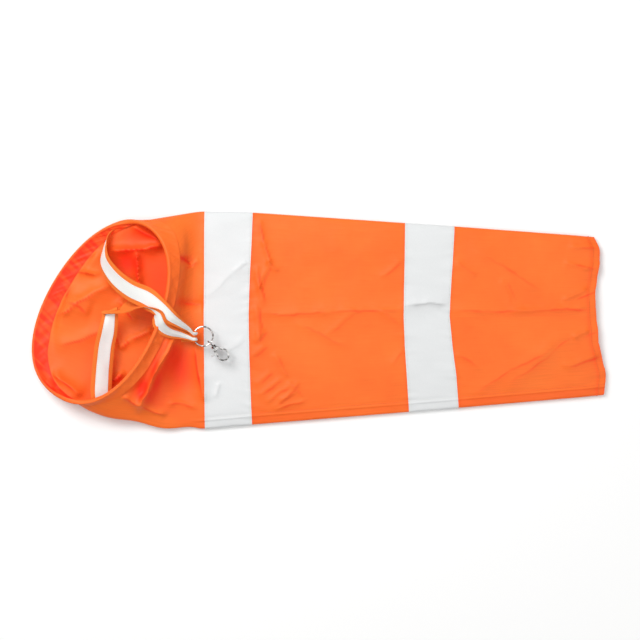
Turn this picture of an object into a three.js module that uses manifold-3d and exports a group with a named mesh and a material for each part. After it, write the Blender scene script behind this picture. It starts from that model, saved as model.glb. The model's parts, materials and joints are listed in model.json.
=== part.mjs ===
// A small fabric windsock lying flat. A tapered tube of orange cloth carries two silver-white
// bands; a sprung wire hoop in a hem casing holds its mouth open; two taped bridle straps meet
// at a split ring with a swivel clasp. Millimetres, +Z up, +X from the mouth to the tail, with
// the origin at the bottom centre of the tube's box.

import * as THREE from 'three';
import { LoftGeometry } from 'three/addons/geometries/LoftGeometry.js';
import { mergeVertices } from 'three/addons/utils/BufferGeometryUtils.js';
import Module from 'manifold-3d';

const { degToRad, lerp } = THREE.MathUtils;

// Fabric tube
const SOCK_LENGTH = 800;
const MOUTH_DIAMETER = 221; // of the hoop's wire when it is round
const TAIL_DIAMETER = 142;
const BAND_WIDTH = 68;
const MIDDLE_WIDTH = 211; // orange cloth between the bands
const TOP_RUN = 45; // level distance from the hoop's near side to the front band
const WALL = 0.8;
const TAIL_HEM_WIDTH = 12;
const TAIL_HEM_WALL = 1.6;

// How the tube lies
const FLATNESS = 0.985; // width of the lying tube over its pressed-flat width
const FRONT_PUFF = 15; // height of the top cloth at the front band
const TOP_SAG = 6; // of the slack top cloth between the hoop and the front band
const TAIL_PUFF = 13;
const EDGE_HEIGHT = 4; // height of the two side folds
const TAIL_DRIFT = 4; // sideways, from the front band to the tail

// Hoop
const HOOP_WIRE = 2.5;
const HOOP_SQUASH = 0.634; // short over long radius as it lies
const HOOP_TURN = degToRad(62.6); // of the long radius, from +X
const HOOP_TILT = degToRad(16.7);
const HOOP_OFFSET = 9; // of its centre from the tube's centre line
const HOOP_SHEAR = 0.019; // third and fourth harmonics of its bent outline
const HOOP_SQUARENESS = 0.012;

// Mouth hem casing
const CASING_DEPTH = 20;
const CASING_CLOTH = 0.8;
const WIRE_EASE = 1.05; // round the wire
const CASING_EASE = 0.8; // between its legs and the mouth panel

// Bridle
const STRAP_WIDTH = 30;
const STRAP_THICKNESS = 1.2;
const TAPE_WIDTH = 18;
const TAPE_THICKNESS = 0.5;
const TAPE_EASE = 0.6; // between a tape and its strap, which twist together
const LOOP_WIDTH = 7; // the strap ends are gathered where they pass round the ring
const ANCHOR_A = degToRad(122); // where strap A comes off the hoop; strap B is opposite
const HINGE_ANGLE = degToRad(19.6); // where the straps cross the hoop

// Split ring and swivel clasp
const RING_DIAMETER = 29; // outside
const RING_WIRE = 2.4;
const RING_HEIGHT = 27; // of its plane, as it lies
const RING_SIDE = -24; // of its centre, from the tube's centre line
const EYE_HOLE = 6.5;
const EYE_WIRE = 1.8;
const CLASP_TURN = degToRad(-45);
const CLASP_THICKNESS = 4;
const POST_RADIUS = 1.3;
const POST_CLEARANCE = 0.35;
const HEAD_RADIUS = 2.1; // of the head that keeps the post in the barrel
const HEAD_LENGTH = 1.8;
const BARREL_RADIUS = 3.4;
const BARREL_LENGTH = 3.6;
const BARREL_BEVEL = 0.5;
const HOOK_REACH = 24; // from the eye's centre to the centre of the hook's bow
const HOOK_RISE = 1.5;
const HOOK_RADIUS = 8.7; // outside
const HOOK_BAR = 2.5;
const BOW_START = degToRad(150); // at the spine
const BOW_END = degToRad(-104); // at the nose
const LEVER_THICKNESS = 2;
const LEVER_HALF = 1.1; // half its width
const LUG_RADIUS = 2.4;
const PIN_RADIUS = 0.75;
const THUMB_AT = 4.2; // along the lever, from its pivot
const THUMB_LENGTH = 6.2;
const THUMB_RADIUS = 1.4;
const THUMB_HALF_ROOT = 0.9;
const THUMB_HALF_TIP = 0.7;

// General
const GAP = 0.3; // between pieces that touch
const SIDES = 48; // of the tube and the hoop
const STATION_SPACING = 70; // along the tube
const HALF_TURN = Math.PI;
const FULL_TURN = 2 * Math.PI;
const UP = new THREE.Vector3(0, 0, 1);

const CLOTH = { color: 0xf2581e, roughness: 0.62, metalness: 0 };
const BAND = { color: 0xe4e6e5, roughness: 0.45, metalness: 0 };
const TAPE = { color: 0xf4f4f0, roughness: 0.4, metalness: 0 };
const STRAP = { color: 0xf47a2e, roughness: 0.8, metalness: 0 };
const NICKEL = { color: 0xb9bbc0, roughness: 0.22, metalness: 1 };
const WIRE = { color: 0x8f9296, roughness: 0.35, metalness: 1 };

const wasm = await Module();
wasm.setup();

const sock = new THREE.Group();

function addPiece(name, geometry, look, parent = sock) {
  const piece = new THREE.Mesh(geometry, new THREE.MeshStandardMaterial(look));
  piece.name = name;
  parent.add(piece);
  return piece;
}

// Booleans

function toSolid(geometry) {
  const bare = geometry.clone();
  bare.deleteAttribute('normal');
  bare.deleteAttribute('uv');
  const merged = mergeVertices(bare, 1e-4);
  return new wasm.Manifold(new wasm.Mesh({
    numProp: 3,
    vertProperties: new Float32Array(merged.attributes.position.array),
    triVerts: new Uint32Array(merged.index.array),
  }));
}

function toGeometry(solid) {
  const mesh = solid.getMesh();
  const geometry = new THREE.BufferGeometry();
  geometry.setAttribute('position', new THREE.BufferAttribute(mesh.vertProperties, 3));
  geometry.setIndex(new THREE.BufferAttribute(mesh.triVerts, 1));
  return geometry;
}

// Lofts

// A body whose closed section is carried once round a closed path.
function ringLoft(sectionAt, steps = SIDES) {
  const sections = [];
  for (let i = 0; i <= steps; i += 1) {
    sections.push(sectionAt((i % steps) / steps * FULL_TURN));
  }
  return new LoftGeometry(sections);
}

// A flat strip through stations, each with its middle, its width vector and its face normal.
function stripLoft(stations, thickness) {
  const sections = stations.map(({ at, across, face }) => {
    const half = across.clone().multiplyScalar(0.5);
    const up = face.clone().setLength(thickness / 2);
    return [
      at.clone().add(half).add(up),
      at.clone().sub(half).add(up),
      at.clone().sub(half).sub(up),
      at.clone().add(half).sub(up),
    ];
  });
  return new LoftGeometry(sections, { capStart: true, capEnd: true });
}

// The hoop as it lies: angle 0 is its raised near side, a half turn its low far side, and the
// side folds of the tube start at plus and minus a quarter turn.

const CASING_BEAD = HOOP_WIRE / 2 + WIRE_EASE + CASING_CLOTH; // outer radius round the wire
const HOOP_SHAPE = 3 * (1 + HOOP_SQUASH) - Math.sqrt((3 + HOOP_SQUASH) * (1 + 3 * HOOP_SQUASH));
const HOOP_LONG = MOUTH_DIAMETER / HOOP_SHAPE;
const HOOP_SHORT = HOOP_LONG * HOOP_SQUASH;
const HOOP_ALONG = new THREE.Vector3(Math.cos(HOOP_TURN), Math.sin(HOOP_TURN), 0);
const HOOP_ACROSS = new THREE.Vector3(
  Math.sin(HOOP_TURN) * Math.cos(HOOP_TILT),
  -Math.cos(HOOP_TURN) * Math.cos(HOOP_TILT),
  Math.sin(HOOP_TILT),
);

// From the hoop's centre, given in shares of its two radii and a height above its plane.
function hoopOffset(along, across, above = 0) {
  return new THREE.Vector3(0, 0, above)
    .addScaledVector(HOOP_ALONG, along * HOOP_LONG)
    .addScaledVector(HOOP_ACROSS, across * HOOP_SHORT);
}

function rimOffset(angle) {
  const bend = 1 - HOOP_SHEAR * Math.sin(3 * angle) - HOOP_SQUARENESS * Math.cos(4 * angle);
  return hoopOffset(Math.sin(angle) * bend, Math.cos(angle) * bend);
}

const rimSpan = new THREE.Box3().setFromPoints(
  Array.from({ length: SIDES }, (_, i) => rimOffset(i / SIDES * FULL_TURN)),
);
const HOOP_CENTRE = new THREE.Vector3(
  CASING_BEAD - SOCK_LENGTH / 2 - rimSpan.min.x,
  HOOP_OFFSET,
  CASING_BEAD - rimSpan.min.z,
);

function hoopPoint(along, across, above = 0) {
  return HOOP_CENTRE.clone().add(hoopOffset(along, across, above));
}

function rimPoint(angle) {
  return HOOP_CENTRE.clone().add(rimOffset(angle));
}

// The lying tube from the front band to the tail: a flat bottom, side folds and a puffed top.

const FRONT_X = HOOP_CENTRE.x + rimSpan.max.x + TOP_RUN;
const TAIL_X = SOCK_LENGTH / 2;
const PUFF_ROUNDNESS = 0.8;
const FLAT_SHARE = 0.6; // the bottom is flat where the cosine of the angle is below minus this

function alongTube(x, front, tail) {
  return THREE.MathUtils.mapLinear(x, FRONT_X, TAIL_X, front, tail);
}

function halfWidth(x) {
  const share = (x + SOCK_LENGTH / 2) / SOCK_LENGTH;
  return FLATNESS * HALF_TURN * lerp(MOUTH_DIAMETER, TAIL_DIAMETER, share) / 4;
}

function tubePoint(angle, x) {
  const up = Math.cos(angle);
  const side = alongTube(x, 0, TAIL_DRIFT) + halfWidth(x) * Math.sin(angle);
  const puff = alongTube(x, FRONT_PUFF, TAIL_PUFF) - EDGE_HEIGHT;
  const fall = 1 - Math.min(1, Math.max(0, -up) / FLAT_SHARE);
  const height = up > 0 ? EDGE_HEIGHT + puff * up ** PUFF_ROUNDNESS : EDGE_HEIGHT * fall ** 2;
  return new THREE.Vector3(x, side, height);
}

function tubeNormal(angle, x) {
  const step = 1e-4;
  const run = tubePoint(angle + step, x).sub(tubePoint(angle - step, x));
  return new THREE.Vector3(0, -run.z, run.y).normalize();
}

function tubeWall(start, end, wall = WALL) {
  const stations = Math.max(1, Math.round((end - start) / STATION_SPACING));
  return ringLoft((angle) => {
    const section = [];
    for (let i = 0; i <= stations; i += 1) {
      section.push(tubePoint(angle, lerp(start, end, i / stations)));
    }
    for (let i = stations; i >= 0; i -= 1) {
      const x = lerp(start, end, i / stations);
      section.push(tubePoint(angle, x).addScaledVector(tubeNormal(angle, x), -wall));
    }
    return section;
  });
}

// The mouth cloth runs straight from the hoop to the front band.

function clothRay(angle) {
  const start = rimPoint(angle);
  const endNormal = tubeNormal(angle, FRONT_X);
  const end = tubePoint(angle, FRONT_X - GAP).addScaledVector(endNormal, -WALL / 2);
  const step = 1e-3;
  const run = rimPoint(angle + step).sub(rimPoint(angle - step));
  const away = end.clone().sub(start);
  const normal = away.clone().cross(run).normalize();
  return {
    start,
    end,
    normal,
    endNormal,
    away: away.clone().normalize(),
    length: away.length(),
    sag: TOP_SAG * Math.max(0, Math.cos(angle)),
  };
}

function clothPoint(ray, distance, lift) {
  const share = distance / ray.length;
  const normal = ray.normal.clone().lerp(ray.endNormal, share).normalize();
  const past = Math.max(0, distance - CASING_DEPTH) / (ray.length - CASING_DEPTH);
  return ray.start.clone().lerp(ray.end, share)
    .addScaledVector(normal, lift)
    .addScaledVector(UP, -ray.sag * Math.sin(HALF_TURN * past));
}

function mouthPanel() {
  const start = HOOP_WIRE / 2 + 2 * GAP;
  return ringLoft((angle) => {
    const ray = clothRay(angle);
    const beyond = (share) => lerp(CASING_DEPTH, ray.length, share);
    const stops = [start, CASING_DEPTH, beyond(0.3), beyond(0.65), ray.length];
    return [
      ...stops.map((distance) => clothPoint(ray, distance, WALL / 2)),
      ...stops.reverse().map((distance) => clothPoint(ray, distance, -WALL / 2)),
    ];
  });
}

// A cloth strip folded over the wire, one leg on each face of the mouth panel.
function hemCasing() {
  const inner = WALL / 2 + CASING_EASE;
  const outer = inner + CASING_CLOTH;
  const tunnel = CASING_BEAD - CASING_CLOTH;
  const outline = [[CASING_DEPTH, outer]];
  const bends = 6;
  const outerStart = Math.asin(outer / CASING_BEAD);
  for (let i = 0; i <= bends; i += 1) {
    const turn = lerp(outerStart, FULL_TURN - outerStart, i / bends);
    outline.push([CASING_BEAD * Math.cos(turn), CASING_BEAD * Math.sin(turn)]);
  }
  outline.push([CASING_DEPTH, -outer], [CASING_DEPTH, -inner]);
  const innerStart = Math.asin(inner / tunnel);
  for (let i = bends; i >= 0; i -= 1) {
    const turn = lerp(innerStart, FULL_TURN - innerStart, i / bends);
    outline.push([tunnel * Math.cos(turn), tunnel * Math.sin(turn)]);
  }
  outline.push([CASING_DEPTH, inner]);
  return ringLoft((angle) => {
    const ray = clothRay(angle);
    return outline.map(([distance, lift]) => ray.start.clone()
      .addScaledVector(ray.away, distance)
      .addScaledVector(ray.normal, lift)).reverse();
  });
}

function hoopWire() {
  const sides = 8;
  return ringLoft((angle) => {
    const ray = clothRay(angle);
    const section = [];
    for (let i = 0; i < sides; i += 1) {
      const turn = i / sides * FULL_TURN;
      section.push(ray.start.clone()
        .addScaledVector(ray.away, HOOP_WIRE / 2 * Math.cos(turn))
        .addScaledVector(ray.normal, -HOOP_WIRE / 2 * Math.sin(turn)));
    }
    return section;
  });
}

const SEAM = GAP / 2;
const FRONT_BAND_END = FRONT_X + BAND_WIDTH;
const REAR_BAND_START = FRONT_BAND_END + MIDDLE_WIDTH;
const REAR_BAND_END = REAR_BAND_START + BAND_WIDTH;
const TAIL_HEM_START = TAIL_X - TAIL_HEM_WIDTH;

addPiece('mouth_panel', mouthPanel(), CLOTH);
addPiece('front_reflective_band', tubeWall(FRONT_X, FRONT_BAND_END - SEAM), BAND);
addPiece('middle_panel', tubeWall(FRONT_BAND_END + SEAM, REAR_BAND_START - SEAM), CLOTH);
addPiece('rear_reflective_band', tubeWall(REAR_BAND_START + SEAM, REAR_BAND_END - SEAM), BAND);
addPiece('tail_panel', tubeWall(REAR_BAND_END + SEAM, TAIL_HEM_START - SEAM), CLOTH);
addPiece('tail_hem', tubeWall(TAIL_HEM_START + SEAM, TAIL_X, TAIL_HEM_WALL), CLOTH);
addPiece('mouth_hem_casing', hemCasing(), CLOTH);
addPiece('hoop_wire', hoopWire(), WIRE);

// Bridle straps. Each is taped on its face, starts on the inside of the casing, crosses the
// near side of the hoop, strap A over strap B, and ends in a loop round the split ring. The
// straps bend along one line over the hoop, where the inner and outer lengths meet.

const TAPE_LIFT = STRAP_THICKNESS / 2 + TAPE_EASE + TAPE_THICKNESS / 2;
const TAPED_HALF = STRAP_THICKNESS / 2 + TAPE_EASE + TAPE_THICKNESS;
const HINGE_ALONG = rimPoint(HINGE_ANGLE + 0.01)
  .sub(rimPoint(HINGE_ANGLE - 0.01))
  .setZ(0)
  .normalize();
const HINGE_OUT = HINGE_ALONG.clone().cross(UP).normalize();
const CASING_TOP = rimPoint(HINGE_ANGLE).z + CASING_BEAD;
const STRAP_B_HEIGHT = CASING_TOP + TAPED_HALF + 2 * GAP;
const STRAP_A_HEIGHT = STRAP_B_HEIGHT + TAPED_HALF + 2 * GAP + STRAP_THICKNESS / 2;
const HINGE_POINT = rimPoint(HINGE_ANGLE).setZ(STRAP_A_HEIGHT + TAPED_HALF);
const RING_RADIUS = (RING_DIAMETER - RING_WIRE) / 2;
const LOOP_AXIS_X = FRONT_X - RING_RADIUS;
// A loop clears the wire even where the ring curves away under the loop's outer edge.
const RING_CURVE = RING_RADIUS - Math.sqrt(RING_RADIUS ** 2 - (LOOP_WIDTH + 2 * GAP) ** 2);
const LOOP_PATH_RADIUS = RING_WIRE / 2 + RING_CURVE + 2 * GAP + STRAP_THICKNESS / 2;

function vector([x, y, z]) {
  return new THREE.Vector3(x, y, z);
}

// Gives each hand-set station its width vector, square to the travel unless it is stated.
function layStrap(route) {
  const curve = new THREE.CatmullRomCurve3(route.map(({ at }) => at), false, 'centripetal');
  return route.map((station, i) => {
    const travel = curve.getTangent(i / (route.length - 1));
    const face = station.face.clone().normalize();
    const across = station.across ?? face.clone().cross(travel);
    return { at: station.at, face, across: across.clone().setLength(station.width) };
  });
}

// Adds stations between the hand-set ones, so that a twist is spread along the strap.
function refine(stations, between) {
  const finer = [];
  const path = new THREE.CatmullRomCurve3(stations.map(({ at }) => at), false, 'centripetal');
  for (let i = 0; i < stations.length - 1; i += 1) {
    for (let j = 0; j < between; j += 1) {
      const share = j / between;
      const across = stations[i].across.clone().lerp(stations[i + 1].across, share);
      const face = stations[i].face.clone().lerp(stations[i + 1].face, share);
      finer.push({
        at: path.getPoint((i + share) / (stations.length - 1)),
        face: face.projectOnPlane(across.clone().normalize()).normalize(),
        across,
      });
    }
  }
  finer.push(stations[stations.length - 1]);
  return finer;
}

// The tape follows the strap's face and narrows with it.
function tapeStations(stations) {
  return stations.map(({ at, face, across }) => ({
    at: at.clone().addScaledVector(face, TAPE_LIFT),
    face,
    across: across.clone().multiplyScalar(TAPE_WIDTH / STRAP_WIDTH),
  }));
}

// A station on the bend line: slide is along the line, out is across it.
function hingeStation(slide, out, height, face = UP, width = STRAP_WIDTH) {
  const at = HINGE_POINT.clone().setZ(height)
    .addScaledVector(HINGE_ALONG, slide)
    .addScaledVector(HINGE_OUT, out);
  return { at, face, across: HINGE_ALONG, width };
}

function hoopStation(along, across, above, face) {
  return { at: hoopPoint(along, across, above), face: vector(face), width: STRAP_WIDTH };
}

// Where a strap comes off the casing, inset from the wire towards the hoop's centre.
function anchorStation(angle, inset, above, face) {
  const spoke = rimOffset(angle);
  const at = HOOP_CENTRE.clone()
    .add(spoke.setLength(spoke.length() - inset))
    .addScaledVector(UP, above);
  return { at, face: vector(face), width: STRAP_WIDTH };
}

// The straps cross the hoop a little apart, and spread before they gather at the ring.
const STRAP_A_SLIDE = STRAP_WIDTH / 6;
const STRAP_B_SLIDE = -STRAP_WIDTH / 10;

const strapAInner = refine(layStrap([
  anchorStation(ANCHOR_A, STRAP_WIDTH / 2, 0.25 * STRAP_WIDTH, [-0.75, -0.25, 0.6]),
  hoopStation(0.49, -0.43, 12, [-0.6, -0.35, 0.75]),
  hoopStation(0.355, -0.085, 13, [-0.35, -0.45, 0.85]),
  hoopStation(0.34, 0.29, 15.5, [-0.25, -0.3, 0.95]),
  hoopStation(0.35, 0.6, 14, [-0.25, -0.1, 1]),
  hingeStation(STRAP_A_SLIDE, -GAP, STRAP_A_HEIGHT),
]), 6);

// Strap B folds over on itself on a slanting crease, and turns its taped face down.
const CREASE = hoopPoint(0.03, 0.02, 1);
const CREASE_ALONG = new THREE.Vector3(0.685, 0.728, 0).normalize();
const CREASE_OUT = new THREE.Vector3(-0.728, 0.685, 0).normalize();
const CREASE_RADIUS = TAPED_HALF + GAP;
const CREASE_SLANT = 0.66; // cosine of the crease's slant across the strap
const CREASE_WIDTH = STRAP_WIDTH / CREASE_SLANT;

function creaseStation(turn) {
  const out = CREASE_OUT.clone().multiplyScalar(Math.sin(turn));
  const up = UP.clone().multiplyScalar(-Math.cos(turn));
  const away = out.add(up);
  const at = CREASE.clone()
    .addScaledVector(UP, CREASE_RADIUS)
    .addScaledVector(away, CREASE_RADIUS);
  const across = CREASE_ALONG.clone().negate();
  return { at, face: away.clone().negate(), across, width: CREASE_WIDTH };
}

const strapBLower = [
  anchorStation(ANCHOR_A - HALF_TURN, STRAP_WIDTH / 5, -10, [0.1, 0.5, 1]),
  hoopStation(-0.54, 0.5, -11, [0, 0.25, 1]),
  hoopStation(-0.285, 0.33, -7, [0, 0.1, 1]),
  hoopStation(-0.17, 0.226, -4, [0, 0, 1]),
];
const strapBUpper = [
  hoopStation(0.17, 0.37, -3.5, [0, 0, -1]),
  hoopStation(0.27, 0.64, 5.5, [0.2, 0.05, -1]),
];
const crease = [0, 0.25, 0.5, 0.75, 1].map((share) => creaseStation(share * HALF_TURN));
const hingeDown = hingeStation(STRAP_B_SLIDE, -GAP, STRAP_B_HEIGHT, UP.clone().negate());
hingeDown.across = HINGE_ALONG.clone().negate();

const strapBInner = [
  ...refine(layStrap([...strapBLower, crease[0]]), 3),
  ...crease.slice(1, -1).map(({ at, face, across, width }) => (
    { at, face, across: across.clone().setLength(width) })),
  ...refine(layStrap([crease[4], ...strapBUpper, hingeDown]), 5),
];

// The last stations of a strap: down round the ring's wire and back under it.
function loopStations(side) {
  const axis = new THREE.Vector3(LOOP_AXIS_X, RING_SIDE + side, RING_HEIGHT);
  const across = new THREE.Vector3(0, LOOP_WIDTH, 0);
  const turns = 6;
  const stations = [];
  for (let i = 0; i <= turns; i += 1) {
    const turn = i / turns * HALF_TURN;
    const face = new THREE.Vector3(Math.sin(turn), 0, Math.cos(turn));
    stations.push({ at: axis.clone().addScaledVector(face, LOOP_PATH_RADIUS), face, across });
  }
  const tail = axis.clone().add(new THREE.Vector3(-LOOP_WIDTH, 0, -0.6 * LOOP_PATH_RADIUS));
  stations.push({ at: tail, face: new THREE.Vector3(-0.3, 0, -1), across });
  return stations;
}

// A station part of the way from the bend line to the ring, and part of the way down to it.
// Its slide along the bend line and its width are shares of the strap's width.
function outerStation(start, share, drop, slide, face, width) {
  const end = new THREE.Vector3(LOOP_AXIS_X, RING_SIDE, 0);
  const at = HINGE_POINT.clone().setZ(0).lerp(end, share)
    .addScaledVector(HINGE_ALONG, slide * STRAP_WIDTH)
    .setZ(lerp(start, RING_HEIGHT + LOOP_PATH_RADIUS, drop));
  return { at, face: vector(face), width: width * STRAP_WIDTH };
}

const LOOP_SIDE = LOOP_WIDTH / 2 + GAP;
const loopA = loopStations(LOOP_SIDE);
const loopB = loopStations(-LOOP_SIDE);

function strapOuter(stations, loop) {
  const entry = { ...loop[0], width: LOOP_WIDTH };
  return [...refine(layStrap([...stations, entry]), 2).slice(0, -1), ...loop];
}

const strapAOuter = strapOuter([
  hingeStation(STRAP_A_SLIDE, GAP, STRAP_A_HEIGHT),
  outerStation(STRAP_A_HEIGHT, 0.3, 0.12, 0.33, [0.35, -0.1, 1], 0.7),
  outerStation(STRAP_A_HEIGHT, 0.6, 0.55, 0.25, [0.5, -0.2, 1], 0.5),
  outerStation(STRAP_A_HEIGHT, 0.85, 0.88, 0.17, [0.3, 0, 1], 0.3),
], loopA);

const strapBOuter = strapOuter([
  hingeStation(STRAP_B_SLIDE, GAP, STRAP_B_HEIGHT),
  outerStation(STRAP_B_HEIGHT, 0.25, 0.15, -0.42, [0.4, -0.2, 1], 0.58),
  outerStation(STRAP_B_HEIGHT, 0.5, 0.5, -0.42, [0.4, -0.2, 1], 0.43),
  outerStation(STRAP_B_HEIGHT, 0.8, 0.87, -0.27, [0.3, 0, 1], 0.27),
], loopB);

const straps = {
  strap_a_inner: strapAInner,
  strap_b_inner: strapBInner,
  strap_a_outer: strapAOuter,
  strap_b_outer: strapBOuter,
};
for (const [name, stations] of Object.entries(straps)) {
  addPiece(name, stripLoft(stations, STRAP_THICKNESS), STRAP);
  const taped = tapeStations(stations.slice(0, -1));
  addPiece(name.replace('strap', 'tape'), stripLoft(taped, TAPE_THICKNESS), TAPE);
}

// Split ring

const ringTorus = new THREE.TorusGeometry(RING_RADIUS, RING_WIRE / 2, 10, 40);
const ring = addPiece('split_ring', ringTorus, NICKEL);
ring.position.set(FRONT_X, RING_SIDE, RING_HEIGHT);

// Swivel clasp: built along +X from the centre of its eye, with its cheeks facing up and down.

const clasp = new THREE.Group();
clasp.position.copy(ring.position)
  .add(new THREE.Vector3(Math.cos(CLASP_TURN), Math.sin(CLASP_TURN), 0).multiplyScalar(RING_RADIUS));
clasp.rotation.z = CLASP_TURN;
sock.add(clasp);

const EYE_RADIUS = (EYE_HOLE + EYE_WIRE) / 2;
const BARREL_START = EYE_RADIUS + EYE_WIRE / 2 + GAP;
const BARREL_END = BARREL_START + BARREL_LENGTH;
const POST_END = BARREL_END + HEAD_LENGTH;
const HOOK_MEAN = HOOK_RADIUS - HOOK_BAR / 2;
const PIVOT = new THREE.Vector2(13, -2.6);

// A round body on +X from a profile of radii and distances.
function turned(profile, steps = 20) {
  return new THREE.LatheGeometry(profile.map(([radius, x]) => new THREE.Vector2(radius, x)), steps)
    .rotateZ(-HALF_TURN / 2);
}

function swivelEye() {
  const eye = new THREE.TorusGeometry(EYE_RADIUS, EYE_WIRE / 2, 10, 28).rotateX(HALF_TURN / 2);
  const post = turned([
    [0, EYE_RADIUS], [POST_RADIUS, EYE_RADIUS], [POST_RADIUS, BARREL_END + GAP],
    [HEAD_RADIUS, BARREL_END + GAP], [HEAD_RADIUS, POST_END], [0, POST_END],
  ]);
  return toGeometry(toSolid(eye).add(toSolid(post)));
}

function slab(shape, thickness, curveSegments = 12) {
  const options = { depth: thickness, bevelEnabled: false, curveSegments };
  return new THREE.ExtrudeGeometry(shape, options).translate(0, 0, -thickness / 2);
}

function disc(centre, radius) {
  const shape = new THREE.Shape();
  shape.absarc(centre.x, centre.y, radius, 0, FULL_TURN, false);
  return shape;
}

// The bow of the hook: a flat bar round its centre, from the spine over to the nose.
function bowShape() {
  const shape = new THREE.Shape();
  shape.absarc(HOOK_REACH, HOOK_RISE, HOOK_RADIUS, BOW_START, BOW_END, true);
  shape.absarc(HOOK_REACH, HOOK_RISE, HOOK_RADIUS - HOOK_BAR, BOW_END, BOW_START, false);
  return shape;
}

// The spine from the barrel to the bow, with the lug that holds the lever's pin.
function spineShape() {
  const shape = new THREE.Shape();
  const lap = 1;
  const wall = 1.6;
  const start = BARREL_END - lap;
  const headroom = POST_END + GAP + wall;
  const meet = BOW_START - degToRad(12);
  const outer = HOOK_RADIUS;
  const inner = HOOK_RADIUS - HOOK_BAR;
  shape.moveTo(start, BARREL_RADIUS);
  shape.lineTo(HOOK_REACH + outer * Math.cos(meet), HOOK_RISE + outer * Math.sin(meet));
  shape.lineTo(HOOK_REACH + inner * Math.cos(meet), HOOK_RISE + inner * Math.sin(meet));
  shape.lineTo(headroom, HEAD_RADIUS + 2 * GAP);
  shape.lineTo(headroom, PIVOT.y + lap);
  shape.lineTo(PIVOT.x, PIVOT.y - LUG_RADIUS);
  shape.lineTo(start, -BARREL_RADIUS);
  return shape;
}

function hookBody() {
  const barrel = turned([
    [0, BARREL_START], [BARREL_RADIUS - BARREL_BEVEL, BARREL_START],
    [BARREL_RADIUS, BARREL_START + BARREL_BEVEL], [BARREL_RADIUS, BARREL_END], [0, BARREL_END],
  ]);
  const bore = turned([
    [0, BARREL_START - 1], [POST_RADIUS + POST_CLEARANCE, BARREL_START - 1],
    [POST_RADIUS + POST_CLEARANCE, BARREL_END], [HEAD_RADIUS + POST_CLEARANCE, BARREL_END],
    [HEAD_RADIUS + POST_CLEARANCE, POST_END + GAP], [0, POST_END + GAP],
  ]);
  const slot = slab(leverSweep(), LEVER_THICKNESS + 2 * GAP);
  const pinHole = slab(disc(PIVOT, PIN_RADIUS + GAP), 2 * CLASP_THICKNESS);
  const solid = toSolid(barrel)
    .add(toSolid(slab(spineShape(), CLASP_THICKNESS)))
    .add(toSolid(slab(disc(PIVOT, LUG_RADIUS), CLASP_THICKNESS)))
    .add(toSolid(slab(bowShape(), CLASP_THICKNESS, 20)));
  return toGeometry(solid
    .subtract(toSolid(bore))
    .subtract(toSolid(slot))
    .subtract(toSolid(pinHole)));
}

// The lever's room in the lug: round its pivot, and open towards the nose.
function leverSweep() {
  const shape = new THREE.Shape();
  const reach = LUG_RADIUS + 2;
  shape.absarc(PIVOT.x, PIVOT.y, LEVER_HALF + 2 * GAP, degToRad(80), degToRad(250), false);
  shape.lineTo(PIVOT.x + reach, PIVOT.y - reach);
  shape.lineTo(PIVOT.x + reach, PIVOT.y + reach);
  return shape;
}

// A lever from its pivot to just inside the hook's nose, with a thumb stub on its outer side.
const NOSE = new THREE.Vector2(
  HOOK_REACH + HOOK_MEAN * Math.cos(BOW_END),
  HOOK_RISE + HOOK_MEAN * Math.sin(BOW_END),
);
const LEVER_AIM = NOSE.clone().sub(PIVOT);

function triggerLever() {
  const length = LEVER_AIM.length() - 2 * GAP;
  const bar = new THREE.Shape();
  bar.absarc(0, 0, LEVER_HALF, degToRad(90), degToRad(270), false);
  bar.lineTo(length, -LEVER_HALF);
  bar.lineTo(length, LEVER_HALF);
  const stub = new THREE.Shape();
  stub.moveTo(THUMB_AT - THUMB_HALF_ROOT, 0);
  stub.lineTo(THUMB_AT - THUMB_HALF_TIP, -THUMB_LENGTH);
  stub.lineTo(THUMB_AT + THUMB_HALF_TIP, -THUMB_LENGTH);
  stub.lineTo(THUMB_AT + THUMB_HALF_ROOT, 0);
  const knob = new THREE.CylinderGeometry(THUMB_RADIUS, THUMB_RADIUS, CLASP_THICKNESS, 16)
    .rotateX(HALF_TURN / 2)
    .translate(THUMB_AT, -THUMB_LENGTH - THUMB_RADIUS / 2, 0);
  const hole = slab(disc(new THREE.Vector2(), PIN_RADIUS + GAP / 2), 2 * CLASP_THICKNESS);
  return toGeometry(toSolid(slab(bar, LEVER_THICKNESS))
    .add(toSolid(slab(stub, LEVER_THICKNESS)))
    .add(toSolid(knob))
    .subtract(toSolid(hole)));
}

addPiece('swivel_eye', swivelEye(), NICKEL, clasp);
addPiece('hook_body', hookBody(), NICKEL, clasp);
const lever = addPiece('trigger_lever', triggerLever(), NICKEL, clasp);
lever.position.set(PIVOT.x, PIVOT.y, 0);
lever.rotation.z = LEVER_AIM.angle();
const pinLength = CLASP_THICKNESS + 2 * GAP;
const pin = new THREE.CylinderGeometry(PIN_RADIUS, PIN_RADIUS, pinLength, 16)
  .rotateX(HALF_TURN / 2)
  .translate(PIVOT.x, PIVOT.y, 0);
addPiece('trigger_pin', pin, NICKEL, clasp);

export default sock;
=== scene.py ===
"""A small fabric windsock lying flat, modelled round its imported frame: the cloth tube with two
reflective bands, the sprung mouth hoop in its hem, two taped bridle straps, a split ring and a
swivel clasp. Everything is in metres, +Z up, +X from the mouth to the tail."""

import json
import math

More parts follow.
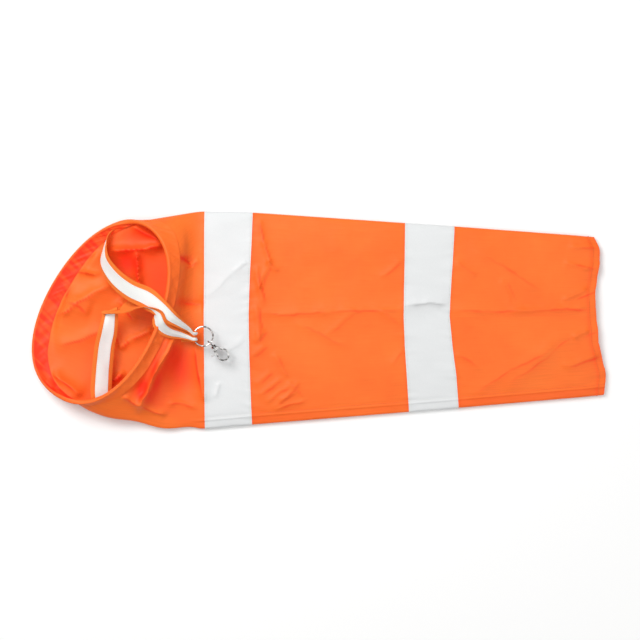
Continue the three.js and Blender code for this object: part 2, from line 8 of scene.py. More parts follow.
import bmesh
import bpy
import numpy as np
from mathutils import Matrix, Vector


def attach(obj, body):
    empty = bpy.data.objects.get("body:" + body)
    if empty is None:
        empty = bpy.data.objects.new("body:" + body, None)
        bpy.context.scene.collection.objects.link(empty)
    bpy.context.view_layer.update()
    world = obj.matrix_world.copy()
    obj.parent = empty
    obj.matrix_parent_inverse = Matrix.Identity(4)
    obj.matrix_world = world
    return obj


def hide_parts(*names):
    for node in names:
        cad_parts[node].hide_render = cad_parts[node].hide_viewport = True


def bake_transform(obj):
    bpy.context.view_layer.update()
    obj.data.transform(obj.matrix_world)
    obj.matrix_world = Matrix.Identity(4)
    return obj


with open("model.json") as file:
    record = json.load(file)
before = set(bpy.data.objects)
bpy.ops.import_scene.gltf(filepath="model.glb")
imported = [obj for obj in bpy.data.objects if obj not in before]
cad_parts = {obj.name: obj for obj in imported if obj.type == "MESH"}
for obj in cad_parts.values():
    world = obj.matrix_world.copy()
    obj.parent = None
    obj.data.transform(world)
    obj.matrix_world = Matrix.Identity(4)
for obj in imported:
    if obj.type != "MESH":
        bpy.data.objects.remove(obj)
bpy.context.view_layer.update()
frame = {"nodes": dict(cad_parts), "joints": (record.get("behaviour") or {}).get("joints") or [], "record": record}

bl_info = {
    "name": "Lying windsock",
    "version": (1, 0, 0),
    "blender": (4, 5, 0),
    "location": "View3D > Sidebar > Windsock",
    "description": "Builds a fabric windsock with its hoop, bridle, split ring and swivel clasp",
    "category": "Add Mesh",
}

MM = 0.001
SLOTS = {m["slot"]: m for m in frame["record"]["materials"]}


def joint(name):
    return next(j for j in frame["joints"] if j["name"] == name)


def slot_colour(slot):
    return tuple(SLOTS[slot]["base_color"])


# Settings


class TubeSettings(bpy.types.PropertyGroup):
    mouth_diameter: bpy.props.FloatProperty(
        name="Mouth", description="Diameter of the hoop when it is round",
        default=0.221, unit="LENGTH")
    tail_diameter: bpy.props.FloatProperty(
        name="Tail", description="Diameter of the open tail", default=0.142, unit="LENGTH")
    cloth_thickness: bpy.props.FloatProperty(
        name="Cloth", description="Thickness of one layer of cloth", default=0.0004, unit="LENGTH")
    front_puff: bpy.props.FloatProperty(
        name="Front puff", description="Height of the cloth at the front band",
        default=0.0145, unit="LENGTH")
    tail_puff: bpy.props.FloatProperty(
        name="Tail puff", description="Height of the cloth at the tail",
        default=0.0105, unit="LENGTH")
    edge_height: bpy.props.FloatProperty(
        name="Fold height", description="Height of the two side folds",
        default=0.0035, unit="LENGTH")
    creasing: bpy.props.FloatProperty(
        name="Creasing", description="Strength of the folds and creases", default=1.5, min=0, max=2)
    cloth_colour: bpy.props.FloatVectorProperty(
        name="Cloth colour", description="Colour of the sock's cloth", subtype="COLOR",
        default=(0.99, 0.172, 0.024))
    band_colour: bpy.props.FloatVectorProperty(
        name="Band colour", description="Colour of the reflective bands", subtype="COLOR",
        default=slot_colour("reflective_cloth"))


class BridleSettings(bpy.types.PropertyGroup):
    strap_width: bpy.props.FloatProperty(
        name="Strap", description="Width of a strap", default=0.030, unit="LENGTH")
    tape_width: bpy.props.FloatProperty(
        name="Tape", description="Width of the reflective tape", default=0.018, unit="LENGTH")
    strap_thickness: bpy.props.FloatProperty(
        name="Strap thickness", description="Thickness of a strap", default=0.001, unit="LENGTH")
    strap_colour: bpy.props.FloatVectorProperty(
        name="Strap colour", description="Colour of the straps", subtype="COLOR",
        default=slot_colour("strap_webbing"))
    tape_colour: bpy.props.FloatVectorProperty(
        name="Tape colour", description="Colour of the tape", subtype="COLOR",
        default=slot_colour("reflective_tape"))


class MetalSettings(bpy.types.PropertyGroup):
    coil_height: bpy.props.FloatProperty(
        name="Coil", description="Height of one coil of the split ring",
        default=0.00112, unit="LENGTH")
    edge_round: bpy.props.FloatProperty(
        name="Edge rounding", description="Rounding of the cast clasp",
        default=0.0007, unit="LENGTH")
    nickel_colour: bpy.props.FloatVectorProperty(
        name="Nickel colour", description="Colour of the plated metal", subtype="COLOR",
        default=(0.80, 0.78, 0.76))


class StageSettings(bpy.types.PropertyGroup):
    camera_height: bpy.props.FloatProperty(
        name="Camera height", description="Height of the camera above the floor",
        default=2.0, unit="LENGTH")
    view_width: bpy.props.FloatProperty(
        name="View width", description="Width of the floor that the camera sees",
        default=0.892, unit="LENGTH")
    key_power: bpy.props.FloatProperty(
        name="Key light", description="Power of the large soft light", default=36.0, unit="POWER")
    sky: bpy.props.FloatProperty(
        name="Sky", description="Brightness of the even light from above", default=0.97)


# Shapes of the lying sock, all with the sizes of the CAD model

HOOP_CENTRE = np.array((-0.299706, 0.009, 0.027151))
HOOP_LONG = 0.13357
HOOP_SHORT = 0.084684
HOOP_TURN = math.radians(62.6)
HOOP_TILT = math.radians(16.7)
HOOP_ALONG = np.array((math.cos(HOOP_TURN), math.sin(HOOP_TURN), 0))
HOOP_ACROSS = np.array((
    math.sin(HOOP_TURN) * math.cos(HOOP_TILT),
    -math.cos(HOOP_TURN) * math.cos(HOOP_TILT),
    math.sin(HOOP_TILT),
))
HOOP_SHEAR = 0.019
HOOP_SQUARENESS = 0.012
CASING_DEPTH = 0.020
CASING_BEAD = 0.0028
CASING_LIFT = 0.0006
CASING_TURN = math.radians(62)
CASING_PUCKER = 0.0011
STRAP_ROOM = 0.0022
BAND_LIFT = 0.00015
HEM_LIFT = 0.00003
HEM_LAYERS = 2.5

FRONT_X = -0.160456
BAND_WIDTH = 0.068
FRONT_END = FRONT_X + BAND_WIDTH
REAR_X = FRONT_END + 0.211
REAR_END = REAR_X + BAND_WIDTH
TAIL_X = 0.4
HEM_X = TAIL_X - 0.012
SOCK_LENGTH = 0.8
TAIL_DRIFT = 0.004
FLATNESS = 0.985
FLAT_SHARE = 0.6
TOP_SAG = 0.006
PUFF_ROUNDNESS = 0.62
SEAM_INSET = 0.012  # of the long seam, from the lower side fold
SEAM_TO_STITCH = 0.003
ARRIVAL = 0.8
BULGE = 0.0095
BULGE_WAVE = 0.002
BULGE_SPREAD = 0.55  # round the tube, in radians
DRAWN_IN = 0.0033
BOTTOM_CLEARANCE = 0.0002
LAYER_CLEARANCE = 0.0018
PUCKERS = ((FRONT_X, 0.6), (FRONT_END, 1.0), (REAR_X, 0.9), (REAR_END, 1.0))  # heights in mm
CREASE_FADE = 0.3  # of a crease's length, at each end

COLUMNS = 448
MOUTH_ROWS = 84
MOUTH_START_ROW = 2
ROW_STEP = 0.0023


def smooth(t):
    t = np.clip(t, 0, 1)
    return t * t * (3 - 2 * t)


def noise(x, y, seed):
    """Smooth values from -1 to 1 that change over about one unit."""
    table = np.random.default_rng(seed).uniform(-1, 1, (64, 64))
    column, row = np.floor(x).astype(int), np.floor(y).astype(int)
    fx, fy = smooth(x - column), smooth(y - row)
    a, b = table[column % 64, row % 64], table[(column + 1) % 64, row % 64]
    c, d = table[column % 64, (row + 1) % 64], table[(column + 1) % 64, (row + 1) % 64]
    return (a * (1 - fx) + b * fx) * (1 - fy) + (c * (1 - fx) + d * fx) * fy


def creased_noise(x, y, seed):
    """Three octaves of noise with sharp crests, as cloth that has been folded keeps."""
    total, share = 0, 0
    for octave in range(3):
        scale = 1.9 ** octave
        total = total + (1 - 2 * np.abs(noise(x * scale, y * scale, seed + octave))) / scale
        share += 1 / scale
    return total / share


def rim_point(angle):
    """The hoop: a tilted oval, a little sheared and squared."""
    angle = np.asarray(angle, float)[..., None]
    bend = 1 - HOOP_SHEAR * np.sin(3 * angle) - HOOP_SQUARENESS * np.cos(4 * angle)
    offset = HOOP_ALONG * HOOP_LONG * np.sin(angle) + HOOP_ACROSS * HOOP_SHORT * np.cos(angle)
    return HOOP_CENTRE + offset * bend


def half_width(x):
    tube = bpy.context.scene.windsock_tube
    share = (x + SOCK_LENGTH / 2) / SOCK_LENGTH
    diameter = tube.mouth_diameter + (tube.tail_diameter - tube.mouth_diameter) * share
    return FLATNESS * math.pi * diameter / 4


def tube_point(angle, x):
    """The tube's surface: a flat bottom, two side folds and a puffed top."""
    tube = bpy.context.scene.windsock_tube
    share = (x - FRONT_X) / (TAIL_X - FRONT_X)
    up = np.cos(angle)
    side = TAIL_DRIFT * share + half_width(x) * np.sin(angle)
    puff = tube.front_puff + (tube.tail_puff - tube.front_puff) * share - tube.edge_height
    fall = 1 - np.minimum(1, np.maximum(0, -up) / FLAT_SHARE)
    height = np.where(
        up > 0,
        tube.edge_height + puff * np.maximum(up, 0) ** PUFF_ROUNDNESS,
        tube.edge_height * fall ** 2,
    )
    return np.stack(np.broadcast_arrays(x, side, height), -1)


# Creases: start and end in plan, height, spread to each side and radius of the crest, in mm

TUBE_CREASES = (
    (-81, 7, 14, 10, 1.8, 7, 1),
    (7, 11, 117, 12, 1.8, 7, 0.8),
    (117, 18, 180, 22, 2.4, 6, 0.8),
    (184, 14, 293, 12, 1.5, 8, 1),
    (279, 12, 386, 14, 1.9, 6, 0.8),
    (-156, 32, -114, 68, 0.6, 6, 1.5),
    (-117, 67, -100, 79, 1, 4, 1),
    (-144, -109, -137, -89, 1.1, 3, 1),
    (-131, -46, -103, -27, 0.8, 6, 1.5),
    (-81, 135, -75, 103, 2, 3.5, 0.8),
    (-75, 106, -67, 77, 2.2, 3.5, 0.8),
    (-67, 79, -81, 38, 1.8, 4, 1),
    (-70, 79, -54, 67, 1.6, 3, 0.8),
    (-86, -32, -72, -15, 1.5, 4, 1),
    (-91, -54, -70, -36, 1.5, 4, 1),
    (-81, -106, -49, -82, 1.4, 3.5, 1),
    (-72, -116, -39, -92, 1.4, 3.5, 1),
    (-86, -92, -63, -74, 1.2, 3.5, 1),
    (-63, -124, -33, -102, 1.2, 3.5, 1),
    (-84, 70, -76, 20, 2.2, 4, 0.8),
    (-84, 20, -78, -30, 2, 4, 0.8),
    (-60, -50, -40, -78, 1.6, 4, 0.8),
    (-52, -118, -28, -88, 1.6, 3, 0.6),
    (-60, -128, -20, -112, 1.4, 3, 0.6),
    (-40, -86, -24, -108, 1.3, 3, 0.6),
    (-28, -4, 39, -39, 1.2, 7, 1.5),
    (11, -18, 53, 10, 1.2, 6, 1.2),
    (88, 58, 114, 79, 1.3, 5, 1),
    (88, 11, 113, -10, 1.3, 4, 1),
    (100, -64, 114, -43, 1, 5, 1),
    (206, -107, 335, -29, 1.8, 14, 3),
    (258, -92, 360, -15, 1.6, 12, 3),
    (220, 93, 314, 38, 1.4, 13, 3),
    (262, 54, 273, 24, 1, 4, 1),
    (190, 79, 220, 60, 1.2, 5, 1),
    (190, -46, 223, -66, 1.2, 5, 1),
    (355, 26, 386, 40, 2, 4, 1),
    (362, -24, 385, -17, 2, 4, 1),
    (343, -68, 393, -49, 2, 5, 1),
    (351, 79, 386, 71, 1.6, 4, 1),
    (357, 102, 388, 96, 1.5, 4, 1),
)
SHOULDER_CREASES = (
    (-199, -24, -247, -121, 12, 8, 1),
    (-247, -121, -215, -133, 3, 5, 1),
    (-247, -121, -270, -102, 4, 4, 1),
    (-171, -36, -162, -110, 3.5, 7, 1.5),
    (-195, 89, -177, 75, -3, 3, 1),
    (-190, 71, -167, 79, 1.5, 5, 1),
    (-190, 21, -162, 21, -3.5, 6, 1.5),
    (-212, -116, -173, -124, 2, 4, 1),
)
INNER_CREASES = (
    (-311, 96, -344, 67, 6, 7, 1),
    (-344, 67, -308, 63, 4, 3, 0.7),
    (-348, 51, -357, 24, 4, 4, 0.8),
    (-374, -2, -290, 49, 8, 12, 2),
    (-365, -38, -296, -15, 4, 14, 3),
    (-293, 92, -215, 102, 8, 6, 1.2),
    (-254, 92, -252, 35, 7, 4, 1),
    (-259, 127, -223, 109, 5, 5, 1),
    (-289, -10, -277, -41, 3, 4, 1),
    (-277, -41, -266, -31, 3, 3, 0.8),
    (-266, -31, -234, -17, 4, 5, 1),
    (-290, -91, -272, -73, 5, 3, 0.8),
    (-371, -74, -332, -103, 6, 7, 1.2),
    (-354, 26, -321, 10, 3, 8, 2),
    (-279, 26, -259, -4, 3, 6, 1),
)
# Soft round patches: middle, reach along X and Y, and amount
POCKETS = (
    (-0.192, -0.078, 0.020, 0.034, 0.007),
    (-0.240, -0.090, 0.020, 0.034, 0.007),
)
# Patches of painted shade on the upper layer, in the pockets and dips near the mouth
SHADED_PLACES = (
    (-0.194, -0.064, 0.015, 0.026, 0.42),
    (-0.186, -0.085, 0.018, 0.020, 0.2),
    (-0.243, -0.096, 0.009, 0.015, 0.8),
    (-0.225, -0.075, 0.006, 0.022, 0.5),
    (-0.190, 0.023, 0.012, 0.007, 0.5),
    (-0.187, 0.083, 0.009, 0.005, 0.7),
)
# Patches of painted shade on the lower layer, in the shadowed inside of the mouth
INNER_SHADED_PLACES = (
    (-0.279, -0.084, 0.007, 0.007, 0.8),
    (-0.268, 0.080, 0.022, 0.020, 0.95),
    (-0.250, 0.118, 0.040, 0.016, 0.65),
    (-0.225, 0.060, 0.030, 0.050, 0.6),
)
# How far each seam leans along X, in mm, from the lower side fold to the upper one
SEAM_LEAN = {
    FRONT_X: (0.5, 0.5, 0, -0.5, 0, 0, 0),
    FRONT_END: (-2, -4, -5.5, -6.4, -5, -2.5, -0.8),
    REAR_X: (5, 2, -1, -2.7, -2, -1, -0.3),
    REAR_END: (6, 2.5, -3, -7.1, -5, -2, 0.4),
    TAIL_X: (-1.5, -3.5, -15, -16.5, -18.5, -12, -14),
}


def wander_off(x, y):
    """Bends straight fold lines a little, as cloth does."""
    return (x + 0.0022 * noise(x / 0.026, y / 0.026, 90) + 0.001 * noise(x / 0.009, y / 0.009, 93),
            y + 0.0026 * noise(x / 0.024, y / 0.024, 91) + 0.0012 * noise(x / 0.009, y / 0.009, 92))


def beside_crease(x, y, crease):
    """Distance along a crease, distance beside it, and its length."""
    x0, y0, x1, y1 = (c * MM for c in crease[:4])
    length = math.hypot(x1 - x0, y1 - y0)
    along = ((x - x0) * (x1 - x0) + (y - y0) * (y1 - y0)) / length
    beside = ((x - x0) * (y1 - y0) - (y - y0) * (x1 - x0)) / length
    return along, beside, length


def beside_long_seam(x, y):
    """Distance from the long seam, which runs beside the lower side fold."""
    drift = TAIL_DRIFT * (x - FRONT_X) / (TAIL_X - FRONT_X)
    return y - (drift - half_width(x)) - SEAM_INSET


def patch(x, y, place):
    middle_x, middle_y, reach_x, reach_y, amount = place
    return amount * np.exp(-(((x - middle_x) / reach_x) ** 2 + ((y - middle_y) / reach_y) ** 2))


def crease_height(x, y, creases):
    x, y = wander_off(x, y)
    total = np.zeros_like(x)
    for crease in creases:
        along, beside, length = beside_crease(x, y, crease)
        height, spread, crest = (c * MM for c in crease[4:])
        fade = CREASE_FADE * length
        ends = smooth(along / fade + 0.5) * smooth((length - along) / fade + 0.5)
        away = np.sqrt(beside ** 2 + crest ** 2) - crest
        total += height * ends * np.exp(-away / spread)
    return total * bpy.context.scene.windsock_tube.creasing


def seam_lean(x, level):
    """Shift along X at x, where level goes from -1 at the lower side fold to 1 at the upper."""
    seams = sorted(SEAM_LEAN)
    stops = np.linspace(-1, 1, len(SEAM_LEAN[FRONT_X]))
    shifts = [np.interp(level, stops, SEAM_LEAN[seam]) * MM for seam in seams]
    result = shifts[0] * smooth((x - (FRONT_X - 0.06)) / 0.06)
    for i in range(len(seams) - 1):
        share = np.clip((x - seams[i]) / (seams[i + 1] - seams[i]), 0, 1)
        result = np.where(x >= seams[i], shifts[i] * (1 - share) + shifts[i + 1] * share, result)
    return result


def seam_puckers(x, y, seam, reach, height, pitch, seed):
    """Short wrinkles that run out from a seam and die away from it."""
    near = np.exp(-np.abs(x - seam) / reach)
    lean = (x - seam) * 0.35 * noise(y / 0.05, x * 0, seed + 7)
    wave = noise((y + lean) / pitch, x / 0.05, seed)
    wave = wave + 0.5 * noise((y + lean) / pitch * 2.1, x / 0.03, seed + 3)
    return height * near * wave


def cloth_grid():
    """Rows of points from the hoop to the tail, with the angles round the tube, the stations along it and how free
    each point is of the casing.
    """
    angles = np.arange(COLUMNS) / COLUMNS * 2 * math.pi
    stations = [FRONT_X]
    for end in (FRONT_END, REAR_X, REAR_END, HEM_X, TAIL_X):
        start = stations[-1]
        steps = max(4, round((end - start) / ROW_STEP))
        stations += [start + (end - start) * (i + 1) / steps for i in range(steps)]
    stations = np.array(stations)
    tube = tube_point(angles[None, :], stations[:, None])

    share = np.linspace(0, 1, MOUTH_ROWS + 1)[:-1, None, None]
    start = rim_point(angles)[None]
    end = tube[0][None]
    away = end - start
    length = np.linalg.norm(away, axis=-1, keepdims=True)
    # the cloth leaves the hoop straight and turns to run along the tube
    arrive = np.concatenate([length * ARRIVAL, 0 * length, 0 * length], -1)
    bow = (2 * share ** 3 - 3 * share ** 2 + 1) * start
    bow = bow + (share ** 3 - 2 * share ** 2 + share) * away
    bow = bow + (3 * share ** 2 - 2 * share ** 3) * end + (share ** 3 - share ** 2) * arrive
    straight = start + away * share
    mix = smooth(share * length / CASING_DEPTH - 1)
    mouth = straight * (1 - mix) + bow * mix
    past = np.clip((share * length - CASING_DEPTH) / (length - CASING_DEPTH), 0, 1)
    up = np.maximum(0, np.cos(angles))[None, :, None]
    mouth[..., 2:] -= TOP_SAG * up * np.sin(math.pi * past)
    # the lower side bulges out between the hoop and the front band
    beside = np.exp(-((angles[None, :, None] - 1.5 * math.pi) / BULGE_SPREAD) ** 2)
    bulge = BULGE * smooth(share * 5) * smooth((1 - share) * 1.6) - BULGE_WAVE * np.sin(16 * share)
    mouth[..., 1:2] -= bulge * beside * smooth((1 - share) * 8)
    rows = np.concatenate([mouth, tube])
    free = np.concatenate([
        smooth((share * length - CASING_DEPTH) / 0.012)[..., 0] * np.ones((1, COLUMNS)),
        np.ones(tube.shape[:2]),
    ])
    return angles, stations, rows, free


def crease_cloth(angles, rows, free):
    """Adds the folds, creases and puckers, and leans the seams."""
    x, y = rows[..., 0].copy(), rows[..., 1].copy()
    up = np.cos(angles)[None, :] * np.ones_like(x)
    top, bottom = smooth(up / 0.35), smooth(-up / 0.35)
    level = np.clip((y - TAIL_DRIFT) / half_width(x), -1, 1)
    rows[..., 0] += seam_lean(x, level)
    # the upper side fold is drawn in at the front band
    drawn_in = np.maximum(0, np.sin(angles))[None, :] ** 3
    rows[..., 1] -= DRAWN_IN * drawn_in * np.exp(-((x - FRONT_X) / 0.04) ** 2)
    rise = top * crease_height(x, y, TUBE_CREASES)
    rise += top * free * crease_height(x, y, SHOULDER_CREASES)
    for pocket in POCKETS:
        rise -= top * free * patch(x, y, pocket)
    for i, (seam, height) in enumerate(PUCKERS):
        rise += top * seam_puckers(x, y, seam, 0.014, height * MM, 0.012, 20 + 5 * i) * free
    rise += top * seam_puckers(x, y, TAIL_X, 0.022, 2.2 * MM, 0.017, 50)
    rise += top * free * MM * (0.9 * noise(x / 0.07, y / 0.05, 3)
                               + 0.5 * noise(x / 0.03, y / 0.024, 4))
    rise += top * free * MM * 0.28 * creased_noise(x / 0.034 + y / 0.09, y / 0.027, 8)
    # the seam along the lower side: a low ridge, and a dip between it and the fold
    beside = beside_long_seam(x, y)
    on_tube = smooth((x - FRONT_X + 0.03) / 0.03)
    ridge = 0.45 * np.exp(-(beside / 0.0014) ** 2) - 0.3 * np.exp(-((beside - 0.004) / 0.002) ** 2)
    ridge -= 0.4 * smooth(-beside / 0.003) * smooth((beside + SEAM_INSET) / 0.006)
    rise += top * on_tube * MM * ridge
    # the lower layer is seen only through the mouth
    rise += bottom * free * crease_height(x, y, INNER_CREASES) * smooth((-0.2 - x) / 0.03)
    in_mouth = 1 - smooth((x - FRONT_X) / 0.01 + 0.5)
    rise += bottom * free * in_mouth * MM * 1.2 * (noise(x / 0.05, y / 0.04, 13) + 0.5)
    rows[..., 2] = np.maximum(rows[..., 2] + rise, BOTTOM_CLEARANCE + top * LAYER_CLEARANCE)
    # the tail's lip is uneven, and draws back at both corners
    lip = smooth((x - 0.36) / 0.04)
    uneven = 1.6 * noise(y / 0.016, x * 0, 61) + 1.2 * noise(y / 0.04, x * 0, 62)
    rows[..., 0] += lip * MM * (uneven * top - 5 * np.abs(level) ** 12)
    return rows


def surface_normals(points):
    """Normals of a grid whose rows run along X and columns round the tube."""
    round_it = np.roll(points, -1, 1) - np.roll(points, 1, 1)
    normal = np.cross(np.gradient(points, axis=0), round_it)
    return normal / np.maximum(np.linalg.norm(normal, axis=-1, keepdims=True), 1e-12)


# Making pieces


def deselect_all():
    if bpy.context.object and bpy.context.object.mode != "OBJECT":
        bpy.ops.object.mode_set(mode="OBJECT")
    bpy.ops.object.select_all(action="DESELECT")


def activate(piece):
    deselect_all()
    piece.select_set(True)
    bpy.context.view_layer.objects.active = piece


def apply_modifiers(piece):
    activate(piece)
    for modifier in list(piece.modifiers):
        bpy.ops.object.modifier_apply(modifier=modifier.name)


def finish_piece(piece, body, slot, *nodes):
    if body:
        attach(piece, body)
    if nodes:
        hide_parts(*nodes)
    return piece


def link_mesh(name, mesh):
    piece = bpy.data.objects.new(name, mesh)
    bpy.context.scene.collection.objects.link(piece)
    return piece


def grid_piece(name, points, uv, material, wrap, thickness):
    """A sheet on a grid of points, with its flat position as the UV map in metres."""
    rows, columns = points.shape[:2]
    faces, corners = [], []
    last = columns if wrap else columns - 1
    for i in range(rows - 1):
        for j in range(last):
            k = (j + 1) % columns
            quad = ((i, j, j), (i + 1, j, j), (i + 1, k, j + 1), (i, k, j + 1))
            faces.append([a * columns + b for a, b, _ in quad])
            corners += [(a, c) for a, _, c in quad]
    mesh = bpy.data.meshes.new(name)
    mesh.from_pydata(points.reshape(-1, 3).tolist(), [], faces)
    layer = mesh.uv_layers.new(name="cloth")
    corners = np.array(corners)
    layer.data.foreach_set("uv", uv[corners[:, 0], corners[:, 1]].astype(np.float32).ravel())
    mesh.materials.append(material)
    piece = link_mesh(name, mesh)
    modifier = piece.modifiers.new("thickness", "SOLIDIFY")
    modifier.thickness = thickness
    modifier.offset = -1
    apply_modifiers(piece)
    bpy.ops.object.shade_smooth_by_angle(angle=math.radians(60))
    return piece


def flat_uv(points, wrap):
    """Distance round and along a grid of points, as a UV map in metres."""
    closing = points[:, :1] if wrap else points[:, -1:]
    around = np.linalg.norm(np.diff(points, axis=1, append=closing), axis=-1).mean(0)
    u = np.concatenate([[0], np.cumsum(around)])
    along = np.linalg.norm(np.diff(points, axis=0), axis=-1).mean(1)
    v = np.concatenate([[0], np.cumsum(along)])
    grid = np.stack(np.broadcast_arrays(u[None, :], v[:, None]), -1)
    return grid if wrap else grid[:, :-1]


# Materials

# the colour of painted shade on the orange cloth
SHADE_ORANGE = (0.98, 0.040, 0.010)
SHEEN_TINT = (1.0, 0.6, 0.35)


def new_group(name, inputs, outputs):
    group = bpy.data.node_groups.new(name, "ShaderNodeTree")
    for label, kind, value in inputs:
        socket = group.interface.new_socket(label, in_out="INPUT", socket_type=kind)
        if value is not None:
            socket.default_value = value
    for label, kind in outputs:
        group.interface.new_socket(label, in_out="OUTPUT", socket_type=kind)
    return group, group.nodes.new("NodeGroupInput"), group.nodes.new("NodeGroupOutput")


def feed(tree, socket, value):
    """Links another node's output to a socket, or sets a plain number or colour on it."""
    if isinstance(value, bpy.types.NodeSocket):
        tree.links.new(value, socket)
    elif isinstance(value, (int, float)):
        socket.default_value = value
    else:
        socket.default_value = (*value, 1) if socket.type == "RGBA" else value


def add_node(tree, kind, **values):
    """A node with its inputs fed; an underscore stands for a space in an input's name."""
    node = tree.nodes.new(kind)
    for label, value in values.items():
        feed(tree, node.inputs[label.replace("_", " ")], value)
    return node


def math_node(tree, operation, *values):
    node = tree.nodes.new("ShaderNodeMath")
    node.operation = operation
    for socket, value in zip(node.inputs, values):
        feed(tree, socket, value)
    return node.outputs[0]


def weave_group():
    """Plain weave: height of the crossing threads, and a mask of single off-tone threads."""
    name = "plain_weave"
    if name in bpy.data.node_groups:
        return bpy.data.node_groups[name]
    group, given, result = new_group(
        name,
        (("Vector", "NodeSocketVector", None), ("Pitch", "NodeSocketFloat", 0.0005)),
        (("Height", "NodeSocketFloat"), ("Threads", "NodeSocketFloat")),
    )
    split = add_node(group, "ShaderNodeSeparateXYZ", Vector=given.outputs["Vector"])
    turns = math_node(group, "DIVIDE", math.pi, given.outputs["Pitch"])
    across, along = (
        math_node(group, "SINE", math_node(group, "MULTIPLY", split.outputs[axis], turns))
        for axis in ("X", "Y")
    )
    crossing = math_node(group, "MULTIPLY", math_node(group, "MULTIPLY", across, along), 0.6)
    height = math_node(group, "ADD", crossing, math_node(group, "ABSOLUTE", across))
    group.links.new(height, result.inputs["Height"])
    stretch = add_node(group, "ShaderNodeMapping", Vector=given.outputs["Vector"],
                       Scale=(900, 25, 1))
    slub = add_node(group, "ShaderNodeTexNoise", Vector=stretch.outputs[0], Scale=1, Detail=2)
    group.links.new(slub.outputs[0], result.inputs["Threads"])
    return group


def wear_and_reflection_group():
    """Soft uneven patches and fine scuffs, for colour and roughness; on the metal the patches give painted
    reflections.
    """
    name = "handling_marks"
    if name in bpy.data.node_groups:
        return bpy.data.node_groups[name]
    group, given, result = new_group(
        name,
        (("Vector", "NodeSocketVector", None), ("Scale", "NodeSocketFloat", 20.0)),
        (("Patches", "NodeSocketFloat"), ("Scuffs", "NodeSocketFloat")),
    )
    vector, scale = given.outputs["Vector"], given.outputs["Scale"]
    patches = add_node(group, "ShaderNodeTexNoise", Vector=vector, Scale=scale, Detail=5,
                       Roughness=0.6)
    fine = add_node(group, "ShaderNodeTexNoise", Vector=vector,
                    Scale=math_node(group, "MULTIPLY", scale, 14),
                    Detail=8, Roughness=0.75, Distortion=0.6)
    group.links.new(patches.outputs[0], result.inputs["Patches"])
    group.links.new(fine.outputs[0], result.inputs["Scuffs"])
    return group


def place_group(tree, group, vector, label, value):
    node = tree.nodes.new("ShaderNodeGroup")
    node.node_tree = group
    tree.links.new(vector, node.inputs["Vector"])
    node.inputs[label].default_value = value
    return node


def ramp(tree, factor, stops):
    node = tree.nodes.new("ShaderNodeValToRGB")
    elements = node.color_ramp.elements
    while len(elements) < len(stops):
        elements.new(0.5)
    for element, (place, colour) in zip(elements, stops):
        element.position = place
        element.color = (*colour, 1)
    tree.links.new(factor, node.inputs[0])
    return node.outputs[0]


def mix_colour(tree, factor, a, b, blend="MIX"):
    node = tree.nodes.new("ShaderNodeMix")
    node.data_type = "RGBA"
    node.blend_type = blend
    for index, value in ((0, factor), (6, a), (7, b)):
        feed(tree, node.inputs[index], value)
    return node.outputs[2]


def remap(tree, value, low, high):
    return add_node(tree, "ShaderNodeMapRange", Value=value, To_Min=low, To_Max=high).outputs[0]


def new_material(name):
    material = bpy.data.materials.new(name)
    material.use_nodes = True
    tree = material.node_tree
    shader = tree.nodes["Principled BSDF"]
    return material, tree, shader


def bump(tree, shader, height, strength, distance):
    node = add_node(tree, "ShaderNodeBump", Height=height, Strength=strength, Distance=distance)
    tree.links.new(node.outputs[0], shader.inputs["Normal"])


def link_finish(tree, shader, tone, scuffs, low, high):
    """Colour, and a roughness between two values that follows the scuffs."""
    tree.links.new(tone, shader.inputs["Base Color"])
    tree.links.new(remap(tree, scuffs, low, high), shader.inputs["Roughness"])


def painted_shade_tone(tree, tone, deep):
    """Paints shade: changes to a deeper tone where the piece's own painted-shade attribute says so."""
    painted_shade = tree.nodes.new("ShaderNodeAttribute")
    painted_shade.attribute_name = "painted_shade"
    return mix_colour(tree, painted_shade.outputs["Fac"], tone, deep)


def cloth_map(tree):
    node = tree.nodes.new("ShaderNodeUVMap")
    node.uv_map = "cloth"
    return node.outputs[0]


def shade(colour, factor):
    return tuple(min(1.0, c * factor) for c in colour)


def cloth_material(name, colour, pitch, roughness, relief, sheen):
    """Woven cloth, with painted shade: a deeper colour where it is creased, folded away, doubled or inside the
    mouth.
    """
    material, tree, shader = new_material(name)
    flat = cloth_map(tree)
    weave = place_group(tree, weave_group(), flat, "Pitch", pitch)
    marks = place_group(tree, wear_and_reflection_group(), flat, "Scale", 9.0)
    r, g, b = colour
    tone = ramp(tree, marks.outputs["Patches"],
                ((0.25, (r * 0.98, g * 0.86, b * 0.85)), (0.5, colour),
                 (0.75, (r, g * 1.12, b * 1.15))))
    threads = ramp(tree, weave.outputs["Threads"], ((0.35, (0.93,) * 3), (0.65, (1.0,) * 3)))
    tone = mix_colour(tree, 1.0, tone, threads, "MULTIPLY")
    # painted shade: the tone deepens to a darker orange where the piece's attribute says so
    tone = painted_shade_tone(tree, tone, SHADE_ORANGE)
    link_finish(tree, shader, tone, marks.outputs["Scuffs"], roughness - 0.07, roughness + 0.07)
    shader.inputs["Specular IOR Level"].default_value = 0.2
    shader.inputs["Sheen Weight"].default_value = sheen
    shader.inputs["Sheen Roughness"].default_value = 0.4
    shader.inputs["Sheen Tint"].default_value = (*SHEEN_TINT, 1)
    scuffs = math_node(tree, "MULTIPLY", marks.outputs["Scuffs"], 2.5)
    height = math_node(tree, "ADD", weave.outputs["Height"], scuffs)
    bump(tree, shader, height, relief, 0.00008)
    return material


